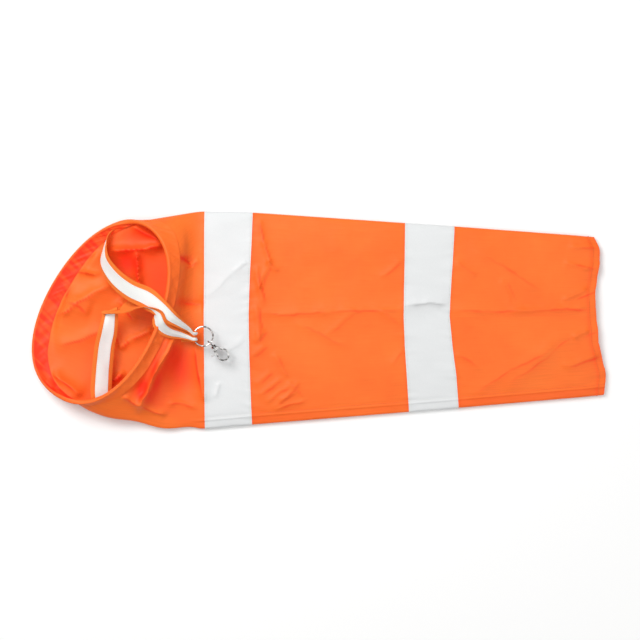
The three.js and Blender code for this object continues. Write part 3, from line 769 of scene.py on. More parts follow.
def reflective_material(name, colour, cell, roughness):
    """Cloth faced with tiny glass beads: a fine even grain with a faint cell pattern."""
    material, tree, shader = new_material(name)
    flat = cloth_map(tree)
    beads = add_node(tree, "ShaderNodeTexVoronoi", Vector=flat, Scale=1 / cell)
    marks = place_group(tree, wear_and_reflection_group(), flat, "Scale", 18.0)
    patches = remap(tree, marks.outputs["Patches"], 0.1, 0.9)
    tone = mix_colour(tree, patches, shade(colour, 0.95), colour)
    grain = ramp(tree, beads.outputs["Distance"], ((0.1, (1.0,) * 3), (0.8, (0.94, 0.945, 0.95))))
    tone = mix_colour(tree, 1.0, tone, grain, "MULTIPLY")
    # painted shade: the band darkens, at most to half its colour, along its creases and seams
    tone = painted_shade_tone(tree, tone, shade(colour, 0.5))
    link_finish(tree, shader, tone, marks.outputs["Scuffs"], roughness - 0.08, roughness + 0.1)
    scuffs = math_node(tree, "MULTIPLY", marks.outputs["Scuffs"], 1.5)
    height = math_node(tree, "ADD", math_node(tree, "MULTIPLY", beads.outputs["Distance"], -1.0),
                       scuffs)
    bump(tree, shader, height, 0.25, 0.0001)
    return material


def metal_material(name, colour, roughness, dark):
    """Bright metal with painted reflections: darker blotches that stand in for darker things it would reflect."""
    material, tree, shader = new_material(name)
    place = tree.nodes.new("ShaderNodeTexCoord")
    marks = place_group(tree, wear_and_reflection_group(), place.outputs["Object"], "Scale", 190.0)
    between = shade(colour, 0.5 + dark / 2)
    # painted reflections: blotches of darker metal between brighter ones
    tone = ramp(tree, marks.outputs["Patches"],
                ((0.40, shade(colour, dark)), (0.5, between), (0.56, colour)))
    link_finish(tree, shader, tone, marks.outputs["Scuffs"], roughness * 0.6, roughness * 1.5)
    shader.inputs["Metallic"].default_value = 1.0
    bump(tree, shader, marks.outputs["Scuffs"], 0.12, 0.00004)
    return material


def thread_material(name, colour):
    material, tree, shader = new_material(name)
    place = tree.nodes.new("ShaderNodeTexCoord")
    marks = place_group(tree, wear_and_reflection_group(), place.outputs["Object"], "Scale", 300.0)
    patches = remap(tree, marks.outputs["Patches"], 0.0, 1.0)
    tone = mix_colour(tree, patches, shade(colour, 0.8), colour)
    link_finish(tree, shader, tone, marks.outputs["Scuffs"], 0.5, 0.75)
    bump(tree, shader, marks.outputs["Scuffs"], 0.3, 0.00005)
    return material


def material_for(name):
    """Each finish, made once."""
    if name in bpy.data.materials:
        return bpy.data.materials[name]
    scene = bpy.context.scene
    if name == "orange_cloth":
        return cloth_material(name, tuple(scene.windsock_tube.cloth_colour),
                              0.00045, 0.48, 0.25, 0.04)
    if name == "silver_cloth":
        return reflective_material(name, tuple(scene.windsock_tube.band_colour), 0.0005, 0.5)
    if name == "orange_strap":
        return cloth_material(name, tuple(scene.windsock_bridle.strap_colour),
                              0.0009, 0.75, 0.6, 0.15)
    if name == "white_tape":
        return reflective_material(name, tuple(scene.windsock_bridle.tape_colour), 0.0008, 0.42)
    if name == "orange_thread":
        return thread_material(name, (0.9, 0.16, 0.03))
    if name == "white_thread":
        return thread_material(name, (0.82, 0.82, 0.8))
    if name == "bright_nickel":
        return metal_material(name, tuple(scene.windsock_metal.nickel_colour), 0.12, 0.16)
    if name == "spring_steel":
        return metal_material(name, (0.5, 0.5, 0.51), 0.3, 0.8)
    raise RuntimeError(f"there is no finish named {name}")


# Straps: each follows a route of stations, with its middle, the way its taped face looks and
# the way its width runs, given as for the CAD solids

RING_SIDE = -0.024
RING_HEIGHT = 0.027
RING_RADIUS = 0.0133
RING_BREADTH = 0.0021
RING_WINDING = math.radians(690)
LOOP_WIDTH = 0.007
LOOP_AXIS_X = FRONT_X - RING_RADIUS
LOOP_PATH_RADIUS = 0.0045
HINGE = Vector(joint("bridle_lift")["pos_m"])
HINGE_ALONG = -Vector(joint("bridle_lift")["axis"])
STRAP_A_HEIGHT = 0.057948
CREASE_RADIUS = 0.0019
STRAP_ENDS = (math.radians(122), math.radians(-51))  # round the hoop
LOOP_GAP = 0.0003  # from the middle to each loop, beside half its width
STRAP_STEP = 0.0018
PLEAT = 0.0009
TAPE_LIFT = 0.0004
TAPE_THICKNESS = 0.0003
LOOP_BACK = ((0.006, -0.0036), (0.012, -0.0022), (0.017, 0.0))
CREASE_MIDDLE = np.array((-0.2880, 0.0100, 0.0290))
CREASE_ALONG = np.array((0.965, 0.262, 0))
CREASE_OUT = np.array((-0.262, 0.965, 0))
CREASE_SHARE = 0.74
# Strap A from its hidden end: middle, face and share of the full width
STRAP_A_START = (
    ((-0.2800, 0.1280, 0.0080), (-0.6, -0.7, 0.3), 0.36),
    ((-0.2880, 0.1215, 0.0100), (-0.8, -0.5, 0.25), 0.42),
    ((-0.2950, 0.1090, 0.0160), (-0.9, -0.3, 0.25), 0.62),
)
# over the mouth: shares of the hoop's half lengths, height above it in mm, face and width
STRAP_A_OVER = (
    (0.50, -0.41, 11, (-0.72, -0.32, 0.62), 0.95),
    (0.385, -0.105, 13, (-0.35, -0.45, 0.85), 1),
    (0.34, 0.29, 15.5, (-0.25, -0.3, 0.95), 1),
    (0.35, 0.6, 14, (-0.25, -0.1, 1), 1),
)
# and on to the ring: share of the way, share of the drop, slide in widths, face and width
STRAP_A_OUTER = (
    (0.3, 0.12, -0.02, (0.35, -0.1, 1), 0.62),
    (0.6, 0.5, 0.06, (0.5, 0.1, 1), 0.44),
    (0.85, 0.88, 0.12, (0.3, 0, 1), 0.28),
)
# Strap B before its crease, and from there to the ring
STRAP_B_LOWER = (
    ((-0.2985, -0.1150, 0.0325), (0.3, 0.1, 1), 0.92),
    ((-0.3000, -0.1010, 0.0310), (0.42, 0.15, 0.9), 1),
    ((-0.2990, -0.0737, 0.0285), (0.5, 0.12, 0.87), 1),
    ((-0.2955, -0.0371, 0.0280), (0.5, 0.1, 0.87), 0.96),
    ((-0.2915, -0.0190, 0.0285), (0.5, 0.05, 0.87), 0.94),
)
STRAP_B_UPPER = (
    ((-0.2640, 0.0155, 0.0320), (0, -0.8, -0.6), 0.86),
    ((-0.2400, 0.0190, 0.0440), (0, -0.88, -0.45), 0.82),
    ((-0.2285, 0.0130, 0.0525), (-0.2, -0.98, 0.1), 0.7),
    ((-0.2205, 0.0040, 0.0562), (-0.35, -0.4, 0.85), 0.7),
    ((-0.2170, -0.0065, 0.0556), (-0.2, -0.2, 1), 0.72),
    ((-0.2110, -0.0140, 0.0505), (0.1, -0.2, 1), 0.62),
    ((-0.2025, -0.0188, 0.0435), (0.3, -0.2, 1), 0.52),
    ((-0.1920, -0.0215, 0.0370), (0.3, -0.2, 1), 0.42),
    ((-0.1825, -0.0245, 0.0335), (0.3, -0.1, 1), 0.3),
)


def catmull_rom(points, position):
    """Centripetal curve through points, at a position in units of one span."""
    span = min(int(position), len(points) - 2)
    share = position - span
    p1, p2 = points[span], points[span + 1]
    p0 = points[span - 1] if span else 2 * p1 - p2
    p3 = points[span + 2] if span + 2 < len(points) else 2 * p2 - p1
    steps = [max(np.linalg.norm(b - a) ** 0.5, 1e-5) for a, b in ((p0, p1), (p1, p2), (p2, p3))]
    start = ((p1 - p0) / steps[0] - (p2 - p0) / (steps[0] + steps[1])
             + (p2 - p1) / steps[1]) * steps[1]
    end = ((p2 - p1) / steps[1] - (p3 - p1) / (steps[1] + steps[2])
           + (p3 - p2) / steps[2]) * steps[1]
    a = 2 * p1 - 2 * p2 + start + end
    b = -3 * p1 + 3 * p2 - 2 * start - end
    return ((a * share + b) * share + start) * share + p1


def station(at, face, width, across=None):
    return {
        "at": np.array(at, float),
        "face": np.array(face, float),
        "width": width,
        "across": None if across is None else np.array(across, float),
    }


def stations_of(table, width):
    return [station(at, face, share * width) for at, face, share in table]


def over_stations(width):
    """Strap A over the mouth, up to the line on which it bends."""
    found = []
    for along, across, above, face, share in STRAP_A_OVER:
        at = HOOP_CENTRE + HOOP_ALONG * along * HOOP_LONG + HOOP_ACROSS * across * HOOP_SHORT
        found.append(station(at + np.array((0, 0, above * MM)), face, share * width))
    at = Vector((HINGE.x, HINGE.y, STRAP_A_HEIGHT)) - HINGE_ALONG * 0.0005
    return found + [station(at, (0, 0, 1), 0.82 * width, HINGE_ALONG)]


def outer_stations(width):
    """Strap A from the rim down to the ring."""
    found = []
    for share, drop, slide, face, narrow in STRAP_A_OUTER:
        at = Vector((HINGE.x, HINGE.y, 0)).lerp(Vector((LOOP_AXIS_X, RING_SIDE, 0)), share)
        at += HINGE_ALONG * slide * width
        at.z = STRAP_A_HEIGHT + (RING_HEIGHT + LOOP_PATH_RADIUS - STRAP_A_HEIGHT) * drop
        found.append(station(at, face, narrow * width))
    return found


def crease_stations(width):
    """Strap B folds over on itself on a slanting crease."""
    found = []
    for turn in np.linspace(0, math.pi, 9):
        away = CREASE_OUT * math.sin(turn) + np.array((0, 0, -math.cos(turn)))
        at = CREASE_MIDDLE + np.array((0, 0, CREASE_RADIUS)) + away * CREASE_RADIUS
        found.append(station(at, -away, CREASE_SHARE * width, -CREASE_ALONG))
    return found


def loop_stations(side):
    """Down round the ring's wire and back under the strap."""
    axis = np.array((LOOP_AXIS_X, RING_SIDE + side, RING_HEIGHT))
    across = (0, 1, 0)
    found = []
    for turn in np.linspace(0, math.pi * 1.06, 11):
        face = np.array((math.sin(turn), 0, math.cos(turn)))
        found.append(station(axis + face * LOOP_PATH_RADIUS, face, LOOP_WIDTH, across))
    for back, rise in LOOP_BACK:
        found.append(station(axis + np.array((-back, 0, rise)), (-0.15, 0, -1), LOOP_WIDTH, across))
    return found


def lay_route(route):
    """Gives each station its width vector, square to the travel unless it is stated."""
    points = [s["at"] for s in route]
    for i, s in enumerate(route):
        if s["across"] is None:
            place = min(max(i, 0.02), len(route) - 1.02)
            travel = catmull_rom(points, place + 0.02) - catmull_rom(points, place - 0.02)
            s["across"] = np.cross(s["face"], travel)
        s["across"] = s["across"] / np.linalg.norm(s["across"]) * s["width"]
        s["face"] = s["face"] / np.linalg.norm(s["face"])
    return route


def strap_route(name):
    width = bpy.context.scene.windsock_bridle.strap_width
    side = LOOP_WIDTH / 2 + LOOP_GAP
    if name == "a":
        return lay_route(stations_of(STRAP_A_START, width) + over_stations(width)
                         + outer_stations(width) + loop_stations(side))
    return lay_route(stations_of(STRAP_B_LOWER, width) + crease_stations(width)
                     + stations_of(STRAP_B_UPPER, width) + loop_stations(-side))


def strap_frames(route):
    """Close stations along a route: middle, face and width vector, and the distance run."""
    columns = [np.array([s[key] for s in route]) for key in ("at", "face", "across")]
    frames = [[], [], []]
    for i in range(len(route) - 1):
        count = max(2, round(np.linalg.norm(columns[0][i + 1] - columns[0][i]) / STRAP_STEP))
        for j in range(count):
            for column, frame_list in zip(columns, frames):
                frame_list.append(catmull_rom(list(column), i + j / count))
    for column, frame_list in zip(columns, frames):
        frame_list.append(column[-1])
    at, face, across = (np.array(f) for f in frames)
    width = np.linalg.norm(across, axis=1, keepdims=True)
    unit = across / width
    face = face - (face * unit).sum(1, keepdims=True) * unit
    face /= np.linalg.norm(face, axis=1, keepdims=True)
    run = np.concatenate([[0], np.cumsum(np.linalg.norm(np.diff(at, axis=0), axis=1))])
    return at, face, unit, width[:, 0], run


def strap_surface(frames, shares, full, width_share=1.0, lift=0.0):
    """Points of a strip across the frames, drawn into pleats where the strap narrows."""
    at, face, unit, width, run = frames
    narrow = np.clip(1 - width / full, 0, 1)[:, None]
    side = shares[None, :] * width_share
    wave = np.cos(side * 2 * math.pi * 1.5 + 0.6 * np.sin(run[:, None] / 0.02))
    edge_roll = -0.0007 * (np.abs(side) * 2) ** 4
    sway = 0.0005 * noise(run[:, None] / 0.022, side * 3, 91)
    height = lift + edge_roll + sway + PLEAT * smooth(narrow * 1.8) * wave
    return (at[:, None] + unit[:, None] * (side * width[:, None])[..., None]
            + face[:, None] * height[..., None])


# Stitches and other small repeated shapes


def one_stitch(length, radius):
    """A single stitch along X: a short thread that dips in at both ends."""
    deselect_all()
    bpy.ops.mesh.primitive_cylinder_add(vertices=5, radius=radius, depth=length * 0.6,
                                        end_fill_type="NGON", rotation=(0, math.pi / 2, 0))
    piece = bpy.context.object
    bpy.ops.object.transform_apply(location=True, rotation=True, scale=True)
    bpy.ops.object.mode_set(mode="EDIT")
    bpy.ops.mesh.select_mode(type="FACE")
    for side in (-1, 1):
        bpy.ops.mesh.select_all(action="DESELECT")
        mesh = bmesh.from_edit_mesh(piece.data)
        for f in mesh.faces:
            if f.normal.x * side > 0.9:
                f.select_set(True)
        bmesh.update_edit_mesh(piece.data)
        bpy.ops.mesh.extrude_region_move(
            TRANSFORM_OT_translate={"value": (side * length * 0.2, 0, -radius * 1.1)})
        bpy.ops.transform.resize(value=(1, 0.5, 0.5))
    bpy.ops.object.mode_set(mode="OBJECT")
    co = np.array([v.co for v in piece.data.vertices])
    # extruding numbers the corners in no fixed order, so they are sorted by place
    order = np.lexsort(np.round(co, 7).T)
    rank = np.argsort(order).tolist()
    faces = [[rank[v] for v in p.vertices] for p in piece.data.polygons]
    faces = sorted(f[f.index(min(f)):] + f[:f.index(min(f))] for f in faces)
    bpy.data.objects.remove(piece)
    return co[order], faces


def stitch_row(stitch, points, normals, pitch, closed=False):
    """Copies of one stitch end to end along a line on the cloth."""
    if closed:
        points = np.concatenate([points, points[:1]])
        normals = np.concatenate([normals, normals[:1]])
    run = np.concatenate([[0], np.cumsum(np.linalg.norm(np.diff(points, axis=0), axis=1))])
    count = int(run[-1] / pitch)
    co, faces = stitch
    all_points, all_faces = [], []
    for i in range(count):
        place = (i + 0.5) * run[-1] / count
        here, behind, ahead = (
            np.array([np.interp(place + d, run, points[:, k]) for k in range(3)])
            for d in (0, -pitch * 0.3, pitch * 0.3)
        )
        normal = np.array([np.interp(place, run, normals[:, k]) for k in range(3)])
        x = ahead - behind
        x /= np.linalg.norm(x)
        normal = normal - normal.dot(x) * x
        normal /= np.linalg.norm(normal)
        y = np.cross(normal, x)
        all_faces += [[v + len(all_points) * len(co) for v in f] for f in faces]
        all_points.append(here + co @ np.array((x, y, normal)))
    return np.concatenate(all_points), all_faces


def joined_piece(name, parts, material):
    points, faces, start = [], [], 0
    for co, found in parts:
        points.append(co)
        faces += [[v + start for v in f] for f in found]
        start += len(co)
    mesh = bpy.data.meshes.new(name)
    mesh.from_pydata(np.concatenate(points).tolist(), [], faces)
    mesh.polygons.foreach_set("use_smooth", [True] * len(mesh.polygons))
    mesh.materials.append(material)
    return link_mesh(name, mesh)


# Operators


class SharedShape:
    """Grids that more than one operator works from."""

    rows = None
    normals = None
    stations = None
    angles = None
    casing = None


def row_of(x):
    return MOUTH_ROWS + int(np.argmin(np.abs(SharedShape.stations - x)))


def streaks(x, y):
    """Slanting streaks across the casing, from 0 to 1, where painted shade stands in for the shade of its puckers.
    """
    across, along = (x + y) / 0.0065, (y - x) / 0.03
    return np.clip(0.5 + 0.9 * noise(across, along, 81)
                   + 0.4 * noise(across * 2.3, along, 82), 0, 1)


def crease_shade(x, y, creases):
    """A thin deeper line along the lower side of each crease, which dies away from it."""
    strength = 0.18 + 0.11 * noise(x / 0.012, y / 0.012, 95)
    x, y = wander_off(x, y)
    total = np.zeros_like(x)
    for crease in creases:
        along, beside, length = beside_crease(x, y, crease)
        beside = beside * math.copysign(1, crease[2] - crease[0])
        fade = CREASE_FADE * length
        ends = smooth(along / fade) * smooth((length - along) / fade)
        line = np.exp(-((beside - 0.0012) / 0.0013) ** 2)
        line = line + 0.35 * np.exp(-np.maximum(beside, 0) / 0.005) * (beside > 0)
        total = np.maximum(total, strength * min(abs(crease[4]), 3) * ends * line)
    return total


def shoulder_shade(x, y):
    """Painted shade in the dips beside the long shoulder fold, from 0 to 1."""
    along, beside, length = beside_crease(x, y, SHOULDER_CREASES[0])
    on_fold = smooth((along + 0.004) / 0.02) * smooth((length + 0.004 - along) / 0.02)
    reach = np.where(beside < 0, 0.028, 0.013)
    return 0.95 * on_fold * np.exp(-np.abs(beside) / reach) * (1 - np.exp(-(beside / 0.0035) ** 2))


def casing_shade(x, y, part):
    """Painted shade on the casing: a little everywhere, more on its inner face, which is doubled, in slanting
    streaks for its puckers and most towards the front of the hoop; part runs from 0 outside to 1 inside.
    """
    inner = smooth((part - 0.55) / 0.1)
    return 0.08 + inner * (0.36 + 0.5 * streaks(x, y) + 0.22 * smooth((-0.29 - x) / 0.05))


def panel_shade(name, x, y, top, from_end):
    """Painted shade of a panel: in its creases and folded places, below the long seam, behind the front band and
    inside the mouth, with a deeper tone along its seams. Top is 1 on the upper layer.
    """
    seam = 0.25 if "band" in name else 0.5
    value = top * crease_shade(x, y, TUBE_CREASES)
    value += np.choose(np.minimum(from_end, 3), (0.5, 0.2, 0.05, 0)) * seam
    if name in ("middle_cloth", "tail_cloth", "tail_hem_cloth"):
        # painted shade below the long seam, and just behind the front band
        below = smooth(-beside_long_seam(x, y) / 0.002 + 0.5)
        value += top * below * (0.1 + 0.12 * smooth((x - REAR_X) / 0.05))
        value += top * 0.12 * np.exp(-((x - FRONT_END) / 0.02) ** 2)
    if name == "mouth_cloth":
        inside = 1 - top
        value += top * (crease_shade(x, y, SHOULDER_CREASES[1:]) + shoulder_shade(x, y))
        value += inside * crease_shade(x, y, INNER_CREASES) * (x < -0.2)
        # painted shade on the lower layer near the hoop, on its lower side
        value += inside * 0.22 * smooth((-0.30 - x) / 0.02) * smooth((-0.02 - y) / 0.03)
        for place in SHADED_PLACES:
            value += top * patch(x, y, place)
        for place in INNER_SHADED_PLACES:
            value += inside * patch(x, y, place)
    return value


def add_painted_shade(piece):
    """An attribute of painted shade, where the cloth is creased, folded away, doubled or inside the mouth, from 0
    to 1.
    """
    mesh = piece.data
    co = np.zeros(len(mesh.vertices) * 3, np.float32)
    mesh.vertices.foreach_get("co", co)
    x, y = co[0::3], co[1::3]
    index = np.arange(len(x))
    rows = len(x) // 2 // COLUMNS
    if piece.name == "hem_casing":
        value = casing_shade(x, y, index % (len(x) // 2) // COLUMNS / rows)
    elif piece.name.startswith("strap"):
        value = np.zeros(len(x))
    else:
        row = index // COLUMNS % rows
        top = smooth(np.cos(index % COLUMNS / COLUMNS * 2 * math.pi) / 0.2)
        value = panel_shade(piece.name, x, y, top, np.minimum(row, rows - 1 - row))
    attribute = mesh.attributes.new("painted_shade", "FLOAT", "POINT")
    attribute.data.foreach_set("value", np.clip(value, 0, 1).astype(np.float32))


class WINDSOCK_OT_tube(bpy.types.Operator):
    """The cloth tube: mouth panel, two bands, middle panel, tail panel and tail hem"""

    bl_idname = "windsock.tube"
    bl_label = "Cloth tube"

    def execute(self, context):
        angles, stations, rows, free = cloth_grid()
        rows = crease_cloth(angles, rows, free)
        SharedShape.angles, SharedShape.stations = angles, stations
        SharedShape.rows, SharedShape.normals = rows, surface_normals(rows)
        uv = flat_uv(rows, True)
        thickness = context.scene.windsock_tube.cloth_thickness
        panels = (
            ("mouth_cloth", None, FRONT_X, "mouth_panel"),
            ("front_band", FRONT_X, FRONT_END, "front_reflective_band"),
            ("middle_cloth", FRONT_END, REAR_X, "middle_panel"),
            ("rear_band", REAR_X, REAR_END, "rear_reflective_band"),
            ("tail_cloth", REAR_END, HEM_X, "tail_panel"),
            ("tail_hem_cloth", HEM_X, TAIL_X, "tail_hem"),
        )
        for name, start, end, node in panels:
            first = MOUTH_START_ROW if start is None else row_of(start)
            span = slice(first, row_of(end) + 1)
            band, hem = "band" in name, "hem" in name
            lift = BAND_LIFT if band else HEM_LIFT if hem else 0
            finish, slot = (("silver_cloth", "reflective_cloth") if band
                            else ("orange_cloth", "sock_cloth"))
            piece = grid_piece(name, rows[span] + SharedShape.normals[span] * lift, uv[span],
                               material_for(finish), True, thickness * (HEM_LAYERS if hem else 1))
            add_painted_shade(piece)
            finish_piece(piece, "sock", slot, node)
        return {"FINISHED"}


class WINDSOCK_OT_casing(bpy.types.Operator):
    """The hem casing folded over the hoop's wire"""

    bl_idname = "windsock.casing"
    bl_label = "Mouth casing"

    def execute(self, context):
        angles = np.arange(COLUMNS) / COLUMNS * 2 * math.pi
        start = rim_point(angles)
        end = SharedShape.rows[MOUTH_ROWS]
        away = end - start
        away /= np.linalg.norm(away, axis=-1, keepdims=True)
        run = rim_point(angles + 0.01) - rim_point(angles - 0.01)
        face = np.cross(away, run)
        face /= np.linalg.norm(face, axis=-1, keepdims=True)
        leg = np.linspace(0, 1, 12)[:-1]
        bead_x, bead_z = (CASING_BEAD * f(CASING_TURN) for f in (math.cos, math.sin))
        legs = [(CASING_DEPTH + (bead_x - CASING_DEPTH) * t,
                 CASING_LIFT + (bead_z - CASING_LIFT) * t ** 2.6) for t in leg]
        path = [(d, h, 1) for d, h in legs]
        path += [(CASING_BEAD * math.cos(t), CASING_BEAD * math.sin(t), 0)
                 for t in np.linspace(CASING_TURN, 2 * math.pi - CASING_TURN, 13)]
        path += [(d, -h, -1) for d, h in legs[::-1]]
        rows = []
        girth = np.concatenate([[0], np.cumsum(np.linalg.norm(np.diff(start, axis=0), axis=1))])
        for distance, height, side in path:
            inset = distance / CASING_DEPTH
            skew = girth + 0.9 * distance
            wave = (noise(skew / 0.0075, girth / 0.05, 71)
                    + 0.6 * noise(skew / 0.0042, girth / 0.03, 72))
            swell = smooth((inset - 0.15) / 0.3) * (1 - 0.85 * smooth((inset - 0.7) / 0.3))
            pucker = side * CASING_PUCKER * np.maximum(wave, -0.5) * swell
            for anchor in STRAP_ENDS:
                # the lower face makes room for a strap's end
                over = np.exp(-((np.angle(np.exp(1j * (angles - anchor)))) / 0.12) ** 2)
                pucker -= STRAP_ROOM * over * smooth(inset * 2) * (side < 0)
            wander = 0.0005 * noise(girth / 0.02, girth * 0, 73) * smooth(inset)
            rows.append(start + away * (distance + wander)[:, None]
                        + face * (height + pucker)[:, None])
        rows = np.array(rows)
        piece = grid_piece("hem_casing", rows, flat_uv(rows, True), material_for("orange_cloth"),
                           True, context.scene.windsock_tube.cloth_thickness)
        add_painted_shade(piece)
        finish_piece(piece, "sock", "sock_cloth", "mouth_hem_casing")
        SharedShape.casing = rows
        wire = frame["nodes"]["hoop_wire"]
        wire.data.materials.clear()
        wire.data.materials.append(material_for("spring_steel"))
        return {"FINISHED"}


class WINDSOCK_OT_straps(bpy.types.Operator):
    """Two bridle straps with their reflective tapes, from the casing to the split ring"""

    bl_idname = "windsock.straps"
    bl_label = "Bridle straps"

    def execute(self, context):
        settings = context.scene.windsock_bridle
        full = settings.strap_width
        for name in ("a", "b"):
            frames = strap_frames(strap_route(name))
            shares = np.sin(np.linspace(-math.pi / 2, math.pi / 2, 25)) / 2
            band = strap_surface(frames, shares, full)
            strap = grid_piece(f"strap_{name}", band, flat_uv(band, False),
                               material_for("orange_strap"), False, settings.strap_thickness)
            add_painted_shade(strap)
            ratio = settings.tape_width / full
            face = strap_surface(frames, np.linspace(-0.5, 0.5, 17), full, ratio, TAPE_LIFT)
            tape = grid_piece(f"tape_{name}", face, flat_uv(face, False),
                              material_for("white_tape"), False, TAPE_THICKNESS)
            stitch = one_stitch(0.0024, 0.00022)
            sewn = []
            for share in (-0.45, 0.45):
                line = strap_surface(frames, np.array([share]), full, ratio,
                                     TAPE_LIFT + 0.0001)[:, 0]
                sewn.append(stitch_row(stitch, line[:-2], frames[1][:-2], 0.0028))
            stitches = joined_piece(f"tape_stitches_{name}", sewn, material_for("white_thread"))
            for piece, slot, kind, width in (
                (strap, "strap_webbing", "strap", full),
                (tape, "reflective_tape", "tape", settings.tape_width),
                (stitches, "reflective_tape", None, None),
            ):
                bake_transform(piece)
                nodes = ([f"{kind}_{name}_{end_name}" for end_name in ("inner", "outer")]
                         if kind else [])
                finish_piece(piece, None, slot, *nodes)
        return {"FINISHED"}


class WINDSOCK_OT_split_ring(bpy.types.Operator):
    """The split ring: one flattened wire in two coils that lie on each other"""

    bl_idname = "windsock.split_ring"
    bl_label = "Split ring"

    def execute(self, context):
        coil = context.scene.windsock_metal.coil_height
        deselect_all()
        bpy.ops.mesh.primitive_circle_add(vertices=12, radius=0.5, fill_type="NOTHING",
                                          rotation=(math.pi / 2, 0, 0))
        ring = context.object
        ring.name = "key_ring"
        bpy.ops.object.transform_apply(location=True, rotation=True, scale=True)
        bpy.ops.object.mode_set(mode="EDIT")
        bpy.ops.mesh.select_all(action="SELECT")
        bpy.ops.transform.resize(value=(RING_BREADTH, 1, coil * 0.96))
        bpy.ops.transform.translate(value=(RING_RADIUS, 0, 0))
        bpy.ops.object.mode_set(mode="OBJECT")
        modifier = ring.modifiers.new("coils", "SCREW")
        modifier.angle = RING_WINDING
        modifier.steps = modifier.render_steps = 150
        modifier.screw_offset = coil * 1.05
        modifier.use_merge_vertices = False
        apply_modifiers(ring)
        bpy.ops.object.mode_set(mode="EDIT")
        bpy.ops.mesh.select_mode(type="EDGE")
        bpy.ops.mesh.select_all(action="DESELECT")
        bpy.ops.mesh.select_non_manifold()
        bpy.ops.mesh.edge_face_add()
        bpy.ops.mesh.select_all(action="SELECT")
        bpy.ops.mesh.normals_make_consistent(inside=False)
        bpy.ops.transform.rotate(value=math.radians(200), orient_axis="Z",
                                 center_override=(0, 0, 0))
        bpy.ops.transform.translate(value=(FRONT_X, RING_SIDE, RING_HEIGHT - coil * 0.53))
        bpy.ops.object.mode_set(mode="OBJECT")
        bpy.ops.object.shade_smooth_by_angle(angle=math.radians(50))
        ring.data.materials.append(material_for("bright_nickel"))
        finish_piece(ring, "ring", "nickel", "split_ring")
        return {"FINISHED"}


class WINDSOCK_OT_clasp(bpy.types.Operator):
    """The swivel clasp: eye, cast hook, trigger lever and its pin, with their edges rounded"""

    bl_idname = "windsock.clasp"
    bl_label = "Swivel clasp"

    def execute(self, context):
        edge = context.scene.windsock_metal.edge_round
        for node, body, name, rounding in (
            ("swivel_eye", "swivel", "clasp_eye", 0.0003),
            ("hook_body", "hook", "clasp_hook", edge),
            ("trigger_lever", "trigger", "clasp_trigger", edge * 0.6),
            ("trigger_pin", "hook", "clasp_pin", 0.0002),
        ):
            piece = rounded_copy(node, name, rounding)
            piece.data.materials.clear()
            piece.data.materials.append(material_for("bright_nickel"))
            finish_piece(piece, body, "nickel", node)
        return {"FINISHED"}


def rounded_copy(node, name, rounding):
    """A copy of a CAD node with its flat faces made whole and its edges rounded."""
    mesh = frame["nodes"][node].data.copy()
    mesh.name = name
    piece = link_mesh(name, mesh)
    activate(piece)
    bpy.ops.object.mode_set(mode="EDIT")
    bpy.ops.mesh.select_all(action="SELECT")
    bpy.ops.mesh.remove_doubles(threshold=0.00001)
    bpy.ops.mesh.dissolve_limited(angle_limit=math.radians(2))
    bpy.ops.object.mode_set(mode="OBJECT")
    bevel = piece.modifiers.new("round", "BEVEL")
    bevel.width = rounding
    bevel.segments = 4
    bevel.limit_method = "ANGLE"
    bevel.angle_limit = math.radians(40)
    bevel.use_clamp_overlap = True
    apply_modifiers(piece)
    bpy.ops.object.shade_smooth_by_angle(angle=math.radians(35))
    return piece


class WINDSOCK_OT_stitching(bpy.types.Operator):
    """Rows of stitches round the casing, along each band, the long seam and the tail hem"""

    bl_idname = "windsock.stitching"
    bl_label = "Stitching"

    def execute(self, context):
        rows, normals = SharedShape.rows, SharedShape.normals
        stitch = one_stitch(0.0030, 0.00026)
        bands, tail = [], []
        for x, lift, pitch, kept in (
            (FRONT_X + SEAM_TO_STITCH, 0.0003, 0.0034, bands),
            (FRONT_END - SEAM_TO_STITCH, 0.0003, 0.0034, bands),
            (REAR_X + SEAM_TO_STITCH, 0.0003, 0.0034, bands),
            (REAR_END - SEAM_TO_STITCH, 0.0003, 0.0034, bands),
            (HEM_X + SEAM_TO_STITCH / 2, 0.0005, 0.0036, tail),
        ):
            row = row_of(x)
            kept.append(stitch_row(stitch, rows[row] + normals[row] * lift, normals[row], pitch,
                                   True))
        casing = SharedShape.casing
        face = surface_normals(casing)
        mouth = [stitch_row(stitch, casing[k] + face[k] * 0.0001, face[k], 0.0034, True)
                 for k in (1, len(casing) - 2)]
        for start, end, kept in ((FRONT_X, FRONT_END, bands), (FRONT_END, REAR_X, tail),
                                 (REAR_X, REAR_END, bands), (REAR_END, TAIL_X, tail)):
            along = range(row_of(start), row_of(end) + 1)
            line, tops = (np.array([grid[i, self.seam_column(i)] for i in along])
                          for grid in (rows, normals))
            kept.append(stitch_row(stitch, line + tops * 0.0002, tops, 0.0036))
        for name, parts, finish, slot in (
            ("stitches_bands", bands, "white_thread", "reflective_cloth"),
            ("stitches_tail", tail, "orange_thread", "sock_cloth"),
            ("stitches_mouth", mouth, "orange_thread", "sock_cloth"),
        ):
            piece = joined_piece(name, parts, material_for(finish))
            finish_piece(piece, "sock", slot)
        return {"FINISHED"}

    @staticmethod
    def seam_column(row):
        y = SharedShape.rows[row, :, 1]
        edge = y.min() + SEAM_INSET + SEAM_TO_STITCH
        upper = np.cos(SharedShape.angles) > 0
        return int(np.argmin(np.abs(y - edge) + np.where(upper, 0, 1)))


FLOOR_HEIGHT = -0.0008
FILL_SHARE = 0.32
SENSOR = 36  # in mm
CAMERA_Y = -0.0015


